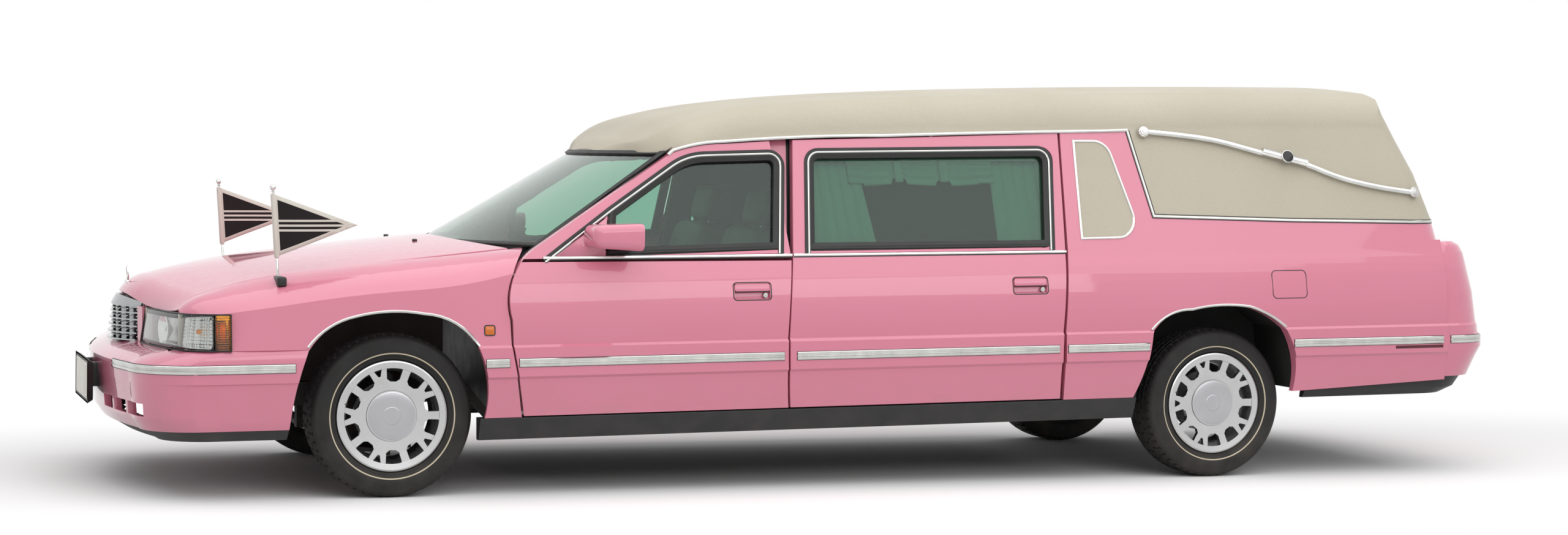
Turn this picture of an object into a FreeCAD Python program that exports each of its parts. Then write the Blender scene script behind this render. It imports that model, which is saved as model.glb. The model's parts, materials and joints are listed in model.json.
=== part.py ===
import FreeCAD, Part
import math
import os

# Hearse, millimetres. +X is forward, +Y is the car's left, Z is up from the ground.
# The body is drawn level, then tipped nose down by the rake about the front axle.
# The wheels, knuckles and rear axle stand on the ground and are not tipped.

V = FreeCAD.Vector

# Driving sizes.
wheelbase = 3680.0
front_axle_x = 1999.5
rake_degrees = 0.89
track = 1547.0
tyre_radius = 328.0
tyre_width = 225.0
rim_radius = 222.0
cap_radius = 101.0
body_half_width = 960.0
moulding_depth = 10.0
sill_z = 314.0
belt_z = 950.0
belt_inset = 55.0
tumblehome = 0.3365
door_thickness = 65.0
frame_thickness = 42.0
wall_thickness = 40.0
skin_thickness = 22.0
roof_thickness = 34.0
glass_thickness = 6.0
panel_gap = 8.0
deck_z = 560.0
plate_width = 520.0
flag_spacing = 1494.0
hood_half_width = 724.0
seat_gap = 0.3
king_offset = 38.5
plate_hole_radius = 3.0
moving_gap = 5.0
hinge_inset = 5.0

rear_axle_x = front_axle_x - wheelbase
moulding_y = body_half_width + moulding_depth
hinge_y = body_half_width - hinge_inset
belt_y = body_half_width - belt_inset
outside_y = body_half_width + 90
inside_y = body_half_width - 310


def F(d):
    return front_axle_x + d


def R(d):
    return rear_axle_x + d


# The tables are drawn for a side at 960; a half width in them moves out with the side.
def wide(y):
    return y + body_half_width - 960.0


# Half width of the cabin side at a height above the belt.
def tumble(z):
    return belt_y - (z - belt_z) * tumblehome


def at_x(x):
    return lambda p: V(x, p[0], p[1])


def at_y(y):
    return lambda p: V(p[0], y, p[1])


def at_z(z):
    return lambda p: V(p[0], p[1], z)


# Closed wire through the points; a point with a third item is the middle of an arc.
def closed(points, place):
    edges = []
    count = len(points)
    i = 0
    while i < count:
        start = points[i]
        step = points[(i + 1) % count]
        if len(step) == 3:
            end = points[(i + 2) % count]
            edges.append(Part.Arc(place(start), place(step), place(end)).toShape())
            i += 2
        else:
            edges.append(Part.makeLine(place(start), place(step)))
            i += 1
    return Part.Wire(edges)


def cross(points, x0, x1):
    return Part.Face(closed(points, at_x(x0))).extrude(V(x1 - x0, 0, 0))


def side(points, y0, y1):
    return Part.Face(closed(points, at_y(y0))).extrude(V(0, y1 - y0, 0))


def plan(points, z0, z1):
    return Part.Face(closed(points, at_z(z0))).extrude(V(0, 0, z1 - z0))


def loft(wires, ruled=False):
    return Part.makeLoft(wires, True, ruled, False, 2)


def box(x0, x1, y0, y1, z0, z1):
    return Part.makeBox(x1 - x0, y1 - y0, z1 - z0, V(x0, y0, z0))


def tube_between(a, b, radius):
    run = b.sub(a)
    return Part.makeCylinder(radius, run.Length, a, run)


def mirror(shape):
    return shape.mirror(V(0, 0, 0), V(0, 1, 0))


def both(shape):
    return [shape, mirror(shape)]


def fuse(shapes):
    first = shapes[0]
    if len(shapes) == 1:
        return first
    return first.fuse(shapes[1:]).removeSplitter()


def raked(shape):
    tipped = shape.copy()
    tipped.rotate(V(front_axle_x, 0, 0), V(0, 1, 0), rake_degrees)
    return tipped


os.makedirs("parts", exist_ok=True)


def export(name, shapes, tip=True):
    if not isinstance(shapes, list):
        shapes = [shapes]
    solids = []
    for shape in shapes:
        for solid in shape.Solids:
            if solid.Volume > 500:
                solids.append(raked(solid) if tip else solid)
    if len(solids) == 1:
        out = solids[0]
    else:
        out = Part.makeCompound(solids)
    out.exportStep("parts/" + name + ".step")
    b = out.BoundBox
    print("%-20s %2d  x %6.0f %6.0f  y %5.0f %5.0f  z %5.0f %5.0f  %s %.1f dm3" % (
        name, len(solids), b.XMin, b.XMax, b.YMin, b.YMax, b.ZMin, b.ZMax,
        out.isValid(), out.Volume / 1e6))
    return out


# Side wall section from the sill to the belt: y and z of the outer skin.
lower_skin = [
    (body_half_width - 22, sill_z),
    (body_half_width, 470),
    (moulding_y, 480),
    (moulding_y, 597),
    (body_half_width, 607),
]


def side_wall(x0, x1, top_z, low, high):
    points = list(lower_skin)
    points += [(body_half_width - 9, 800, 1), (belt_y, belt_z)]
    points += [(tumble(top_z), top_z), (tumble(top_z) - high, top_z)]
    points += [(belt_y - high, belt_z), (belt_y - low, belt_z - 40)]
    points += [(body_half_width - low, 607), (body_half_width - low - 12, sill_z)]
    return cross(points, x0, x1)


# Wheel openings seen from the side: offsets from the axle, heights in the body.
front_arch = [
    (435, 180), (414, 295), (381, 480, 1), (341, 602), (262, 684, 1), (150, 729),
    (20, 746, 1), (-121, 734), (-236, 700, 1), (-337, 602),
    (-379, 430, 1), (-350, 260), (-325, 180),
]
rear_arch = [
    (450, 180), (426, 315), (372, 450, 1), (345, 595), (260, 670, 1), (153, 690),
    (-5, 707, 1), (-130, 698), (-235, 655, 1), (-310, 600),
    (-369, 430, 1), (-355, 300), (-330, 180),
]


def arch(table, place_x, grow=0.0):
    points = []
    for row in table:
        x = row[0] + math.copysign(grow, row[0])
        z = row[1] + (grow if row[1] > 500 else 0)
        points.append((place_x(x), z) + tuple(row[2:]))
    return points


front_opening = arch(front_arch, F)
rear_opening = arch(rear_arch, R)

# Roof sections: station, bottom edge, top of the straight side, corner, edge of crown.
header_z = 1372.0
roof_sections = [
    # x, y_bottom, y_line, z_line, y_mid, z_mid, y_top, z_top, z_centre
    (F(-1040), 250, 246, 1376, 225, 1381, 180, 1385, 1391),
    (F(-1112), 518, 512, 1384, 480, 1404, 400, 1423, 1441),
    (F(-1185), 690, 684, 1390, 650, 1428, 560, 1458, 1482),
    (F(-1280), 757, 748, 1410, 705, 1470, 600, 1506, 1531),
    (F(-1417), 763, 745, 1430, 705, 1507, 600, 1546, 1568),
    (F(-1784), 763, 736, 1455, 696, 1545, 600, 1592, 1618),
    (R(1522), 763, 731, 1470, 692, 1560, 600, 1614, 1643),
    (R(946), 763, 729, 1478, 690, 1572, 600, 1632, 1665),
    (R(150), 763, 727, 1482, 688, 1582, 600, 1646, 1682),
    (R(-679), 763, 727, 1484, 687, 1586, 600, 1650, 1687),
    (R(-1330), 763, 727, 1484, 687, 1586, 600, 1650, 1687),
]


def roof_form(inset):
    wires = []
    for x, yb, yl, zl, ym, zm, yt, zt, zc in roof_sections:
        if inset and x > F(-1200):
            continue
        half = [
            (wide(yb) - inset, header_z),
            (wide(yl) - inset, zl),
            (wide(ym) - inset, zm - 0.75 * inset, 1),
            (wide(yt), zt - inset),
        ]
        left = [(-p[0],) + p[1:] for p in reversed(half)]
        wires.append(closed(half + [(0, zc - inset, 1)] + left, at_x(x)))
    return loft(wires)


# Rear end of the cabin: the plan outline at each height.
cabin_tail = [
    # z, x_centre, corner
    (960, R(-1212), 150),
    (1077, R(-1197), 150),
    (1283, R(-1145), 150),
    (1435, R(-1075), 140),
    (1555, R(-1012), 130),
    (1720, R(-930), 120),
]


def tail_outline(z, half, x, corner, front_x, bow):
    k = corner * (1 - math.sqrt(0.5))
    inner = half - corner
    points = [
        (front_x, -half), (x + bow + corner, -half),
        (x + bow + k, -half + k, 1),
        (x + bow, -inner), (x, 0, 1), (x + bow, inner),
        (x + bow + k, half - k, 1),
        (x + bow + corner, half), (front_x, half),
    ]
    return closed(points, at_z(z))


def cabin_tail_form(inset):
    wires = []
    for z, x, corner in cabin_tail:
        half = tumble(min(z, 1500)) + 3 - inset
        wires.append(tail_outline(z, half, x + inset, corner - inset, R(1200), 22))
    solid = loft(wires, True)
    z = 1692 - inset
    top = side([
        (R(1300), 900), (R(1300), z), (R(-720), z), (R(-885) + 0.5 * inset, z - 30, 1),
        (R(-1000) + inset, z - 130), (R(-1300) + inset, z - 792),
    ], -1000, 1000)
    return solid.common(top)


def cabin_side_form(inset):
    z0, z1 = 960, header_z
    y0, y1 = tumble(z0) - inset, tumble(z1) - inset
    return cross([(-y0, z0), (y0, z0), (y1, z1), (-y1, z1)], R(-1320), R(762))


print("cabin shell")
cabin_outer = fuse([roof_form(0), cabin_side_form(0)]).common(
    fuse([cabin_tail_form(0), box(R(1195), F(0), -1000, 1000, 900, 1800)]))
cabin_inner = fuse([roof_form(roof_thickness), cabin_side_form(wall_thickness)]).common(
    fuse([cabin_tail_form(wall_thickness), box(R(1195), F(0), -1000, 1000, 900, 1800)]))
cabin_shell = cabin_outer.cut(cabin_inner)

# Lower edge of the vinyl roof, seen from the side.
rail = [
    (F(-1186), header_z - 4), (F(-1210), 1386), (F(-1277), 1404, 1), (F(-1440), 1423),
    (F(-1776), 1442, 1), (R(1522), 1449), (R(1031), 1462, 1), (R(486), 1472),
    (R(362), 1478),
]
vinyl_low = [(R(292), 1101), (R(-404), 1078), (R(-1330), 1062)]
vinyl_side = side(
    rail + vinyl_low + [(R(-1330), 1800), (F(0), 1800), (F(0), header_z - 4)], -1000, 1000)

# Rear loading door: its edges splay outward so that the far edge swings clear.
loading_half = 600.0
loading_splay = 0.42
loading_top = 1560.0
loading_low = 618.0


def loading_upper(grow):
    y0 = loading_half + grow
    front = R(-1180)
    spread = loading_splay * 400
    return plan([
        (front + 400, -y0 + spread), (front - 100, -y0 - 0.25 * spread),
        (front - 100, y0 + 0.25 * spread), (front + 400, y0 - spread),
    ], 900, loading_top + grow)


def loading_lower(grow):
    y0 = loading_half + grow
    return box(R(-1500), R(-900), -y0, y0, loading_low - grow, 982)


print("roof and quarters")
roof = cabin_shell.common(vinyl_side).cut(loading_upper(panel_gap))
export("roof", roof)

tail_seam_x = R(-1142)
door_rear_x = R(760)
quarter_low = side_wall(tail_seam_x, door_rear_x, 985, wall_thickness, wall_thickness)
quarter_side = side([
    (R(762), sill_z), (R(759), 611, 1), (R(726), 963), (R(689), 1480),
    (R(-1330), 1480), (R(-1330), 985), (tail_seam_x + seat_gap, 975),
    (tail_seam_x + seat_gap, 352), (R(-380), 320), (R(380), sill_z),
], 0, outside_y)
cabin_left = box(R(-1330), R(762), 0, outside_y, 982, 1480)
quarter_high = cabin_shell.common(cabin_left).cut(vinyl_side).cut(loading_upper(panel_gap))
quarter = fuse([quarter_low, quarter_high]).common(quarter_side)
quarter = quarter.cut(side(rear_opening, inside_y, outside_y))
export("quarters", both(quarter))


# A door's rear edges lean in by the draft over the whole depth, and meet the outer skin on the outline.
def door_solid(outline, draft, top_z):
    outer, inner = [], []
    for p, d in zip(outline, draft):
        skin_y = tumble(p[1]) if p[1] > belt_z else body_half_width
        share = (outside_y - skin_y) / (outside_y - inside_y)
        outer.append((p[0] - d * share, p[1]) + tuple(p[2:]))
        inner.append((p[0] + d * (1 - share), p[1]) + tuple(p[2:]))
    shape = loft([closed(outer, at_y(outside_y)), closed(inner, at_y(inside_y))], True)
    wall = side_wall(R(500), F(-450), top_z, door_thickness, frame_thickness)
    return wall.common(shape)


g = panel_gap / 2
front_door_outer = [
    (F(-525) - g, 318), (F(-499) - g, 483), (F(-477) - g, 603), (F(-474) - g, 707),
    (F(-500), 900, 1), (F(-588), 992),
    (F(-880), 1176), (F(-1196), 1372), (F(-1275), 1396, 1), (F(-1440), 1415),
    (F(-1740) + g, 1432), (F(-1687) + g, 953), (F(-1655) + g, 647, 1), (F(-1664) + g, 318),
]
front_door_draft = [0, 0, 0, 0, 0, 0, 0, 0, 0, 0, 74, 60, 30, 24]
rear_door_outer = [
    (F(-1664) - g, 318), (F(-1655) - g, 647, 1), (F(-1687) - g, 953), (F(-1740) - g, 1432),
    (R(1100), 1452, 1), (R(697) + g, 1464),
    (R(734) + g, 963), (R(767) + g, 611, 1), (R(770) + g, 318),
]
rear_door_draft = [0, 0, 0, 0, 0, 74, 60, 30, 24]

front_window = [
    (F(-880), 955), (F(-1645), 975), (F(-1692), 1340), (F(-1680), 1375, 1), (F(-1640), 1385),
    (F(-1424), 1380, 1), (F(-1277), 1366), (F(-905), 1140),
]
rear_window = [
    (F(-1748), 985), (F(-1766), 972, 1), (F(-1790), 968),
    (R(850), 972), (R(812), 978, 1), (R(790), 1010),
    (R(742), 1345), (R(755), 1386, 1), (R(800), 1402),
    (F(-1850), 1390), (F(-1806), 1378, 1), (F(-1792), 1335),
]


def window_cut(points):
    return side(points, inside_y, outside_y)


def pane(points):
    z0, z1 = 940, 1420
    depth = 24
    y0, y1 = tumble(z0) - depth, tumble(z1) - depth
    slab = cross([
        (y0, z0), (y1, z1), (y1 - glass_thickness, z1), (y0 - glass_thickness, z0),
    ], R(500), F(-450))
    return slab.common(side(points, inside_y - 50, outside_y))


print("doors")
mirror_shell = loft([
    closed([(F(-822), 985), (F(-992), 990), (F(-992), 1078), (F(-900), 1100), (F(-815), 1090)],
           at_y(wide(925))),
    closed([(F(-790), 972), (F(-1000), 982), (F(-1002), 1080), (F(-900), 1102), (F(-785), 1094)],
           at_y(wide(1060))),
    closed([(F(-815), 985), (F(-990), 992), (F(-990), 1068), (F(-900), 1085), (F(-812), 1078)],
           at_y(wide(1085))),
], True)
mirror_foot = loft([
    closed([(F(-760), 962), (F(-905), 965), (F(-905), 1120), (F(-850), 1110)], at_y(wide(838))),
    closed([(F(-822), 985), (F(-905), 985), (F(-905), 1078), (F(-850), 1085)], at_y(wide(930))),
], True)
front_door = door_solid(front_door_outer, front_door_draft, 1440)
front_door = front_door.cut(window_cut(front_window))
mirror_foot = mirror_foot.cut(box(0, F(0), inside_y, wide(850), 900, 1200))
front_door = fuse([front_door, mirror_foot, mirror_shell])
rear_door = door_solid(rear_door_outer, rear_door_draft, 1470)
rear_door = rear_door.cut(window_cut(rear_window))
front_pane = pane(front_window).cut(front_door)
rear_pane = pane(rear_window)
for name, shape in [
    ("front_door", front_door), ("rear_door", rear_door),
    ("front_pane", front_pane), ("rear_pane", rear_pane),
]:
    export(name + "_left", shape)
    export(name + "_right", mirror(shape))

print("front clip")
# Fender sections: station, hood edge, shoulder, top of the side.
fender_sections = [
    # x, z_gap, y_mid, z_mid, y_side, z_side, y_low
    (F(-600), 993, 850, 968, 915, 925, 960),
    (F(-184), 953, 850, 912, 938, 840, 960),
    (F(244), 914, 850, 873, 940, 805, 960),
    (F(550), 868, 845, 828, 930, 765, 952),
    (F(657), 842, 835, 812, 912, 752, 938),
    (F(743), 814, 815, 795, 872, 745, 900),
    (F(815), 765, 765, 760, 790, 745, 815),
]
lamp_low_z = 607 + seat_gap
lamp_high_z = 750.0
fender_wires = []
for x, zg, ym, zm, ys, zs, yl in fender_sections:
    t = skin_thickness
    ym, ys, yl = wide(ym), wide(ys), wide(yl)
    fender_wires.append(closed([
        (hood_half_width + panel_gap, zg), (ym, zm, 1), (ys, zs), (yl, 607),
        (yl - t, 607), (ys - t, zs - 6), (ym - 0.6 * t, zm - 0.85 * t, 1),
        (hood_half_width + panel_gap, zg - t),
    ], at_x(x)))
fender_top = loft(fender_wires)
fender_post = side_wall(F(-600), F(-300), belt_z + 10, skin_thickness, skin_thickness)
fender_post = fender_post.common(box(F(-600), F(-300), 0, outside_y, 0, 607))
fender = fuse([fender_top, fender_post])
door_front_edge = [
    (F(-525) + g, 300), (F(-499) + g, 483), (F(-477) + g, 603), (F(-474) + g, 707),
    (F(-500) + panel_gap, 900, 1), (F(-588) + panel_gap, 998), (F(-640), 1010), (F(-700), 1010), (F(-700), 300),
]
fender = fender.cut(side(door_front_edge, inside_y, outside_y))
fender = fender.cut(side(front_opening, inside_y, outside_y))
lamp_rear_x = F(638)
fender = fender.cut(box(lamp_rear_x, F(1200), 600, outside_y, 500, lamp_high_z + seat_gap))
export("fenders", both(fender))

# Hood sections across the car: seven points from the nose back, as three arcs.
hood_sections = [
    (0, [(F(960), 802), (F(920), 843), (F(840), 874), (F(650), 916), (F(410), 951),
         (F(60), 990), (F(-340), 1024)]),
    (370, [(F(893), 757), (F(875), 800), (F(800), 850), (F(610), 900), (F(380), 940),
           (F(40), 977), (F(-385), 1013)]),
    (hood_half_width, [(F(820), 757), (F(785), 790), (F(720), 823), (F(590), 860), (F(360), 899),
                       (F(10), 937), (F(-515), 988)]),
]


def hood_wire(y, row):
    t = skin_thickness
    outer = [row[0], row[1] + (1,), row[2], row[3] + (1,), row[4], row[5] + (1,), row[6]]
    low = [(p[0] - 0.2 * t, p[1] - t) for p in row]
    low[0] = (row[0][0] - 1.3 * t, row[0][1])
    low[1] = (row[1][0] - 0.9 * t, row[1][1] - 0.8 * t)
    low[6] = (row[6][0], row[6][1] - t)
    inner = [low[6], low[5] + (1,), low[4], low[3] + (1,), low[2], low[1] + (1,), low[0]]
    return closed(outer + inner, at_y(y))


hood_wires = []
for y, row in hood_sections:
    hood_wires.append(hood_wire(y, row))
left_wires = [hood_wire(-y, row) for y, row in hood_sections[:0:-1]]
hood = loft(left_wires + hood_wires)
export("hood", hood)

# Front bumper: plan outline at each height.
bumper_levels = [
    # z, nose offset from the axle, half width at the wheel opening
    (292, 1030, wide(940)),
    (335, 1056, wide(952)),
    (475, 1066, wide(964)),
    (478, 1067, moulding_y),
    (548, 1069, moulding_y),
    (568, 1046, moulding_y),
    (592, 992, moulding_y - 4),
    (607 - seat_gap, 952, body_half_width),
]


def bumper_wire(z, nose, half, inset):
    n = F(nose) - inset
    h = half - inset
    s = inset * 0.9
    points = [
        (F(300), -h), (n - 290, -h + 20), (n - 150, s - wide(860), 1), (n - 70, s - wide(660)),
        (n, 0, 1), (n - 70, wide(660) - s), (n - 150, wide(860) - s, 1), (n - 290, h - 20), (F(300), h),
    ]
    return closed(points, at_z(z))


def bumper_form(inset):
    wires = [bumper_wire(z, nose, half, inset) for z, nose, half in bumper_levels]
    return loft(wires, True)


bumper_wall = 28.0
bumper_core = bumper_form(bumper_wall).common(box(0, F(1300), -1000, 1000, 250, 566))
bumper = bumper_form(0).cut(bumper_core)
bumper = bumper.cut(side(front_opening, -outside_y, outside_y))
bumper = bumper.cut(box(F(200), F(700), -wide(900), wide(900), 200, 700))
bumper = bumper.cut(box(F(700), F(860), -800, 800, 200, 700))
for y0, y1 in [(235, 395), (420, 590), (615, 790)]:
    for s in (-1, 1):
        bumper = bumper.cut(box(F(860), F(1100), min(s * y0, s * y1), max(s * y0, s * y1), 348, 398))
nose_post = plan([
    (F(850), 262), (F(918), 262), (F(906), 322), (F(850), 322)], 590, 750)
buffer = box(F(852), F(888), 270, 314, 740, 800)
low_hood = hood.copy()
low_hood.translate(V(0, 0, -seat_gap))
buffer = buffer.cut(low_hood)
post = fuse([nose_post, buffer])
bumper = fuse([bumper, post, mirror(post)])
# The cover is cut into five lengths, through the posts between its intakes.
bumper_cuts = [-outside_y, -602.5, -407.5, 407.5, 602.5, outside_y]
bumper_lengths = []
for y0, y1 in zip(bumper_cuts, bumper_cuts[1:]):
    bumper_lengths.append(bumper.common(box(F(200), F(1300), y0, y1, 200, 900)))
export("front_bumper", bumper_lengths)

# Grille: a curved case with level blades and upright ribs.
grille_half = 252.0


def grille_arc(front, back):
    return [
        (F(front) - 84, -grille_half), (F(front), 0, 1), (F(front) - 84, grille_half),
        (F(back) - 84, grille_half), (F(back), 0, 1), (F(back) - 84, -grille_half),
    ]


grille_parts = [plan(grille_arc(965, 940), 607, 745)]
for i in range(6):
    z = 607 + i * 27.5
    grille_parts.append(plan(grille_arc(1012 - 4 * i, 950), z, z + 6))
for i in range(9):
    y = -grille_half + 4 + i * (2 * grille_half - 8) / 8.0
    back = F(965) - 84 * (y / grille_half) ** 2 - 12
    grille_parts.append(box(back, back + 34, y - 2, y + 2, 607, 748))
cap_edge = [(F(910), 738), (F(897), 764), (F(875), 764), (F(866), 738)]
cap_centre = [(F(994), 752), (F(972), 790), (F(950), 790), (F(950), 742)]
grille_parts.append(loft([
    closed(cap_edge, at_y(-grille_half)), closed(cap_centre, at_y(0)),
    closed(cap_edge, at_y(grille_half))]))
grille = fuse(grille_parts)
export("grille", grille)

# Headlamps: one clear block each side, and the amber corner behind it.
lamp_bottom = [
    (F(916), 335), (F(882), 600, 1), (F(840), 800), (F(800), 872, 1), (F(700), wide(940)),
    (F(700), 850), (F(770), 780), (F(820), 600), (F(850), 335),
]
lamp_top = [
    (F(893), 335), (F(862), 600, 1), (F(822), 800), (F(785), 868, 1), (F(700), wide(932)),
    (F(700), 850), (F(760), 780), (F(805), 600), (F(835), 335),
]
headlamp = loft([
    closed(lamp_bottom, at_z(lamp_low_z)), closed(lamp_top, at_z(lamp_high_z))], True)
hood_room = hood.copy()
hood_room.translate(V(0, 0, -moving_gap))
headlamp = headlamp.cut(hood_room).cut(hood)
export("headlamps", both(headlamp))

print("glass, pillars and firewall")
# Windscreen, from its base to the header.
screen_base = (F(-359), F(-615), wide(800), 1004.0)
screen_top = (F(-1018), F(-1185), wide(690), header_z - seat_gap)


def screen_wire(row, back, trim):
    centre, corner, half, z = row
    h = half - trim
    return closed([
        (corner, -h), (centre, 0, 1), (corner, h),
        (corner - back, h), (centre - back, 0, 1), (corner - back, -h),
    ], at_z(z))


windscreen = loft([screen_wire(screen_base, 9, 0), screen_wire(screen_top, 9, 0)], True)
export("windscreen", windscreen)


def pillar_wire(z):
    t = (z - screen_base[3]) / (screen_top[3] - screen_base[3])
    x = screen_base[1] + t * (screen_top[1] - screen_base[1])
    y = screen_base[2] + t * (screen_top[2] - screen_base[2])
    xd = F(-588) - (z - 992) * 1.575 + panel_gap
    yd = tumble(z)
    return closed([
        (x + 2, y + seat_gap), (xd + 6, yd - 12),
        (xd - 30, yd - frame_thickness - 12), (x - 80, y + seat_gap),
    ], at_z(z))


# Room kept for the front door: its outline grown by the gap, outside its inner face.
door_room = side([
    (F(-460), 800), (F(-485), 890), (F(-515), 945), (F(-580), 1004), (F(-872), 1182),
    (F(-1188), 1378), (F(-1275), 1404), (F(-1440), 1424), (F(-1440), 800),
], inside_y - 100, outside_y)
door_room = door_room.common(cross([
    (wide(835), 800), (wide(835), 935), (tumble(955) - 50, 955), (tumble(1430) - 50, 1430),
    (outside_y, 1430), (outside_y, 800),
], F(-1500), F(-400)))
a_pillar = loft([pillar_wire(930), pillar_wire(1425)], True)
a_pillar = a_pillar.cut(roof).cut(door_room).cut(fender)


# What a door's leading edge sweeps round its hinge, with the gap kept from it.
def door_sweep(x, lead, thickness):
    return Part.makeCylinder(math.hypot(lead, thickness) + moving_gap, 760, V(x, hinge_y, 250))


front_sweep = door_sweep(F(-550), 50, hinge_y - belt_y + door_thickness)
rear_sweep = door_sweep(F(-1689), 30, door_thickness + 12 - hinge_inset)
a_pillar = a_pillar.cut(front_sweep)
a_pillar = max(a_pillar.Solids, key=lambda q: q.Volume)
b_pillar = side([
    (F(-1620), 290), (F(-1640), 960), (F(-1700), 1490), (F(-1790), 1490),
    (F(-1760), 960), (F(-1710), 290),
], 500, outside_y)
b_section = cross([
    (wide(800), 290), (wide(862), 290), (wide(872), 607), (wide(830), 950),
    (tumble(1434) - 50, 1434), (wide(712), 1446), (wide(712), 1490), (wide(640), 1490),
    (tumble(1434) - 86, 1434), (wide(786), 950), (wide(806), 607),
], R(0), F(0))
sill = cross([
    (wide(860), 222), (wide(900), 222), (wide(935), 308), (wide(935), 312), (wide(860), 312),
], R(410), F(-350))
b_pillar = b_pillar.common(b_section).cut(cabin_shell).cut(sill)
hinge_post = cross([
    (wide(740), 290), (wide(850), 290), (wide(850), 790), (wide(830), 930),
    (wide(815), 960), (wide(740), 960),
], F(-640), F(-560)).cut(front_sweep)


def hinge_block(x0, x1, y0, door):
    near = door.copy()
    near.translate(V(0, -seat_gap, 0))
    blocks = []
    for z in (400, 700):
        blocks.append(box(x0, x1, wide(y0), wide(900), z, z + 40).cut(near))
    return blocks


hinge_post = fuse([hinge_post] + hinge_block(F(-646), F(-612), 840, front_door))
b_pillar = fuse([b_pillar] + hinge_block(F(-1769), F(-1715), 820, rear_door)).cut(rear_sweep)
pillars = []
for shape in (fuse([a_pillar, hinge_post]).cut(sill), b_pillar):
    pillars += both(shape)
export("pillars", pillars)

post_y = wide(740) - seat_gap
firewall = box(F(-560), F(-535), -post_y, post_y, 290, 960)
cowl = plan([
    (F(-545), -735), (F(-360), 0, 1), (F(-545), 735), (F(-610), 735), (F(-610), -735),
], 960, 992)
export("firewall", fuse([firewall, cowl]).cut(fender).cut(mirror(fender)))

print("rails, floor, deck and sills")
rail_path = [
    (F(880), 330), (F(880), 410), (F(380), 440), (F(-380), 440), (F(-520), 262),
    (R(560), 262), (R(380), 490), (R(-300), 490), (R(-480), 440), (R(-1300), 440),
    (R(-1300), 380), (R(-500), 380), (R(-300), 420), (R(360), 420), (R(520), 200),
    (F(-540), 200), (F(-400), 360), (F(380), 360),
]
side_rails = [side(rail_path, s * 450 - 35, s * 450 + 35) for s in (-1, 1)]
cross_rails = []
for x, z in ((F(830), 350), (F(-120), 372), (R(-1300), 390)):
    cross_rails.append(box(x, x + 50, -415, 415, z, z + 50))
inner_bumper = bumper_form(bumper_wall + seat_gap)
for s in (-1, 1):
    horn = box(F(840), F(1070), s * 450 - 35, s * 450 + 35, 410, 460)
    cross_rails.append(horn.common(inner_bumper).cut(side_rails[0]).cut(side_rails[1]))

floor_y = wide(860) - seat_gap
floor_main = box(R(440), F(-535), -floor_y, floor_y, 262, 290)
kick = box(R(420), R(440), -wide(850), wide(850), 262, 520)
floor_rear = box(R(-1330), R(440), -600, 600, 500, 520)
house = side([(R(440), 262), (R(400), 262), (R(360), 600), (R(160), 720), (R(-180), 720),
              (R(-340), 600), (R(-380), 330), (R(-420), 330), (R(-370), 620), (R(-190), 750),
              (R(170), 750), (R(390), 620)], 600, wide(900))
house_wall = side([(R(400), 290), (R(360), 600), (R(160), 720), (R(-180), 720),
                   (R(-340), 600), (R(-380), 500), (R(380), 500)], 600, 612)
side_floor = box(R(-1120), R(-400), 590, wide(915.5), 500, 520)
floor_pan = fuse([floor_main, kick, floor_rear] + both(house) + both(house_wall) + both(side_floor))
floor_pan = floor_pan.cut(both(quarter) + both(sill) + side_rails)
export("floor_pan", floor_pan)

front_skirt = loft([
    bumper_wire(252, 960, wide(920), 0), bumper_wire(292 - seat_gap, 1024, wide(934), 0)], True)
front_skirt = front_skirt.cut(loft([
    bumper_wire(250, 930, wide(890), 0), bumper_wire(293, 994, wide(904), 0)], True))
front_skirt = front_skirt.cut(side(front_opening, -outside_y, outside_y))
front_skirt = front_skirt.cut(box(F(200), F(500), -wide(880), wide(880), 200, 400))

# Tail: bumper and corner caps in one moulding, from plan outlines.
tail_levels = [
    # z, half width, x_centre, corner
    (366, wide(940), R(-1385), 190),
    (446, wide(955), R(-1422), 200),
    (500, moulding_y - 2, R(-1448), 205),
    (545, moulding_y - 2, R(-1448), 205),
    (562, moulding_y - 4, R(-1432), 205),
    (597, moulding_y - 2, R(-1424), 200),
    (607, body_half_width, R(-1420), 195),
    (746, wide(954), R(-1400), 190),
    (846, wide(942), R(-1374), 180),
    (921, wide(916), R(-1362), 165),
    (958, wide(900), R(-1340), 145),
    (976, wide(880), R(-1300), 105),
]


def tail_form(inset):
    wires = []
    for z, half, x, corner in tail_levels:
        wires.append(tail_outline(z, half - inset, x + inset, corner - inset, tail_seam_x - seat_gap, 38))
    return loft(wires, True)


tail_core = tail_form(wall_thickness).common(
    box(R(-1500), R(-900), -outside_y, outside_y, 300, 940))
tail_shell = tail_form(0).cut(tail_core)
tail = tail_shell.cut(box(R(-1500), R(-900), -loading_half - panel_gap, loading_half + panel_gap,
                    loading_low - panel_gap, 1000))
tail = tail.cut(cabin_tail_form(-2).common(
    box(R(-1400), R(-900), -outside_y, outside_y, 960, 1000)))
lamp_pocket = box(R(-1500), R(-1300), 660, 860, 640, 900)
tail_lamp = tail_shell.common(lamp_pocket)
tail = tail.cut(lamp_pocket).cut(mirror(lamp_pocket))
pivot_x = R(-1409)
pivot_y = loading_half + 4
door_leaves = []
tail_leaves = []
for z in (640, 780):
    high_z = z + 30 + seat_gap
    door_leaves.append(Part.makeCylinder(9, 30, V(pivot_x, pivot_y, z)))
    door_leaves.append(box(pivot_x - 4, pivot_x + 62, pivot_y - 44, pivot_y - 4, z, z + 30))
    tail_leaves.append(Part.makeCylinder(9, 30, V(pivot_x, pivot_y, high_z)))
    tail_leaves.append(box(pivot_x - 4, pivot_x + 62, pivot_y + 4, pivot_y + 44, high_z, high_z + 30))
tail = fuse([tail] + tail_leaves)
export("rear_bumper", tail)

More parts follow.
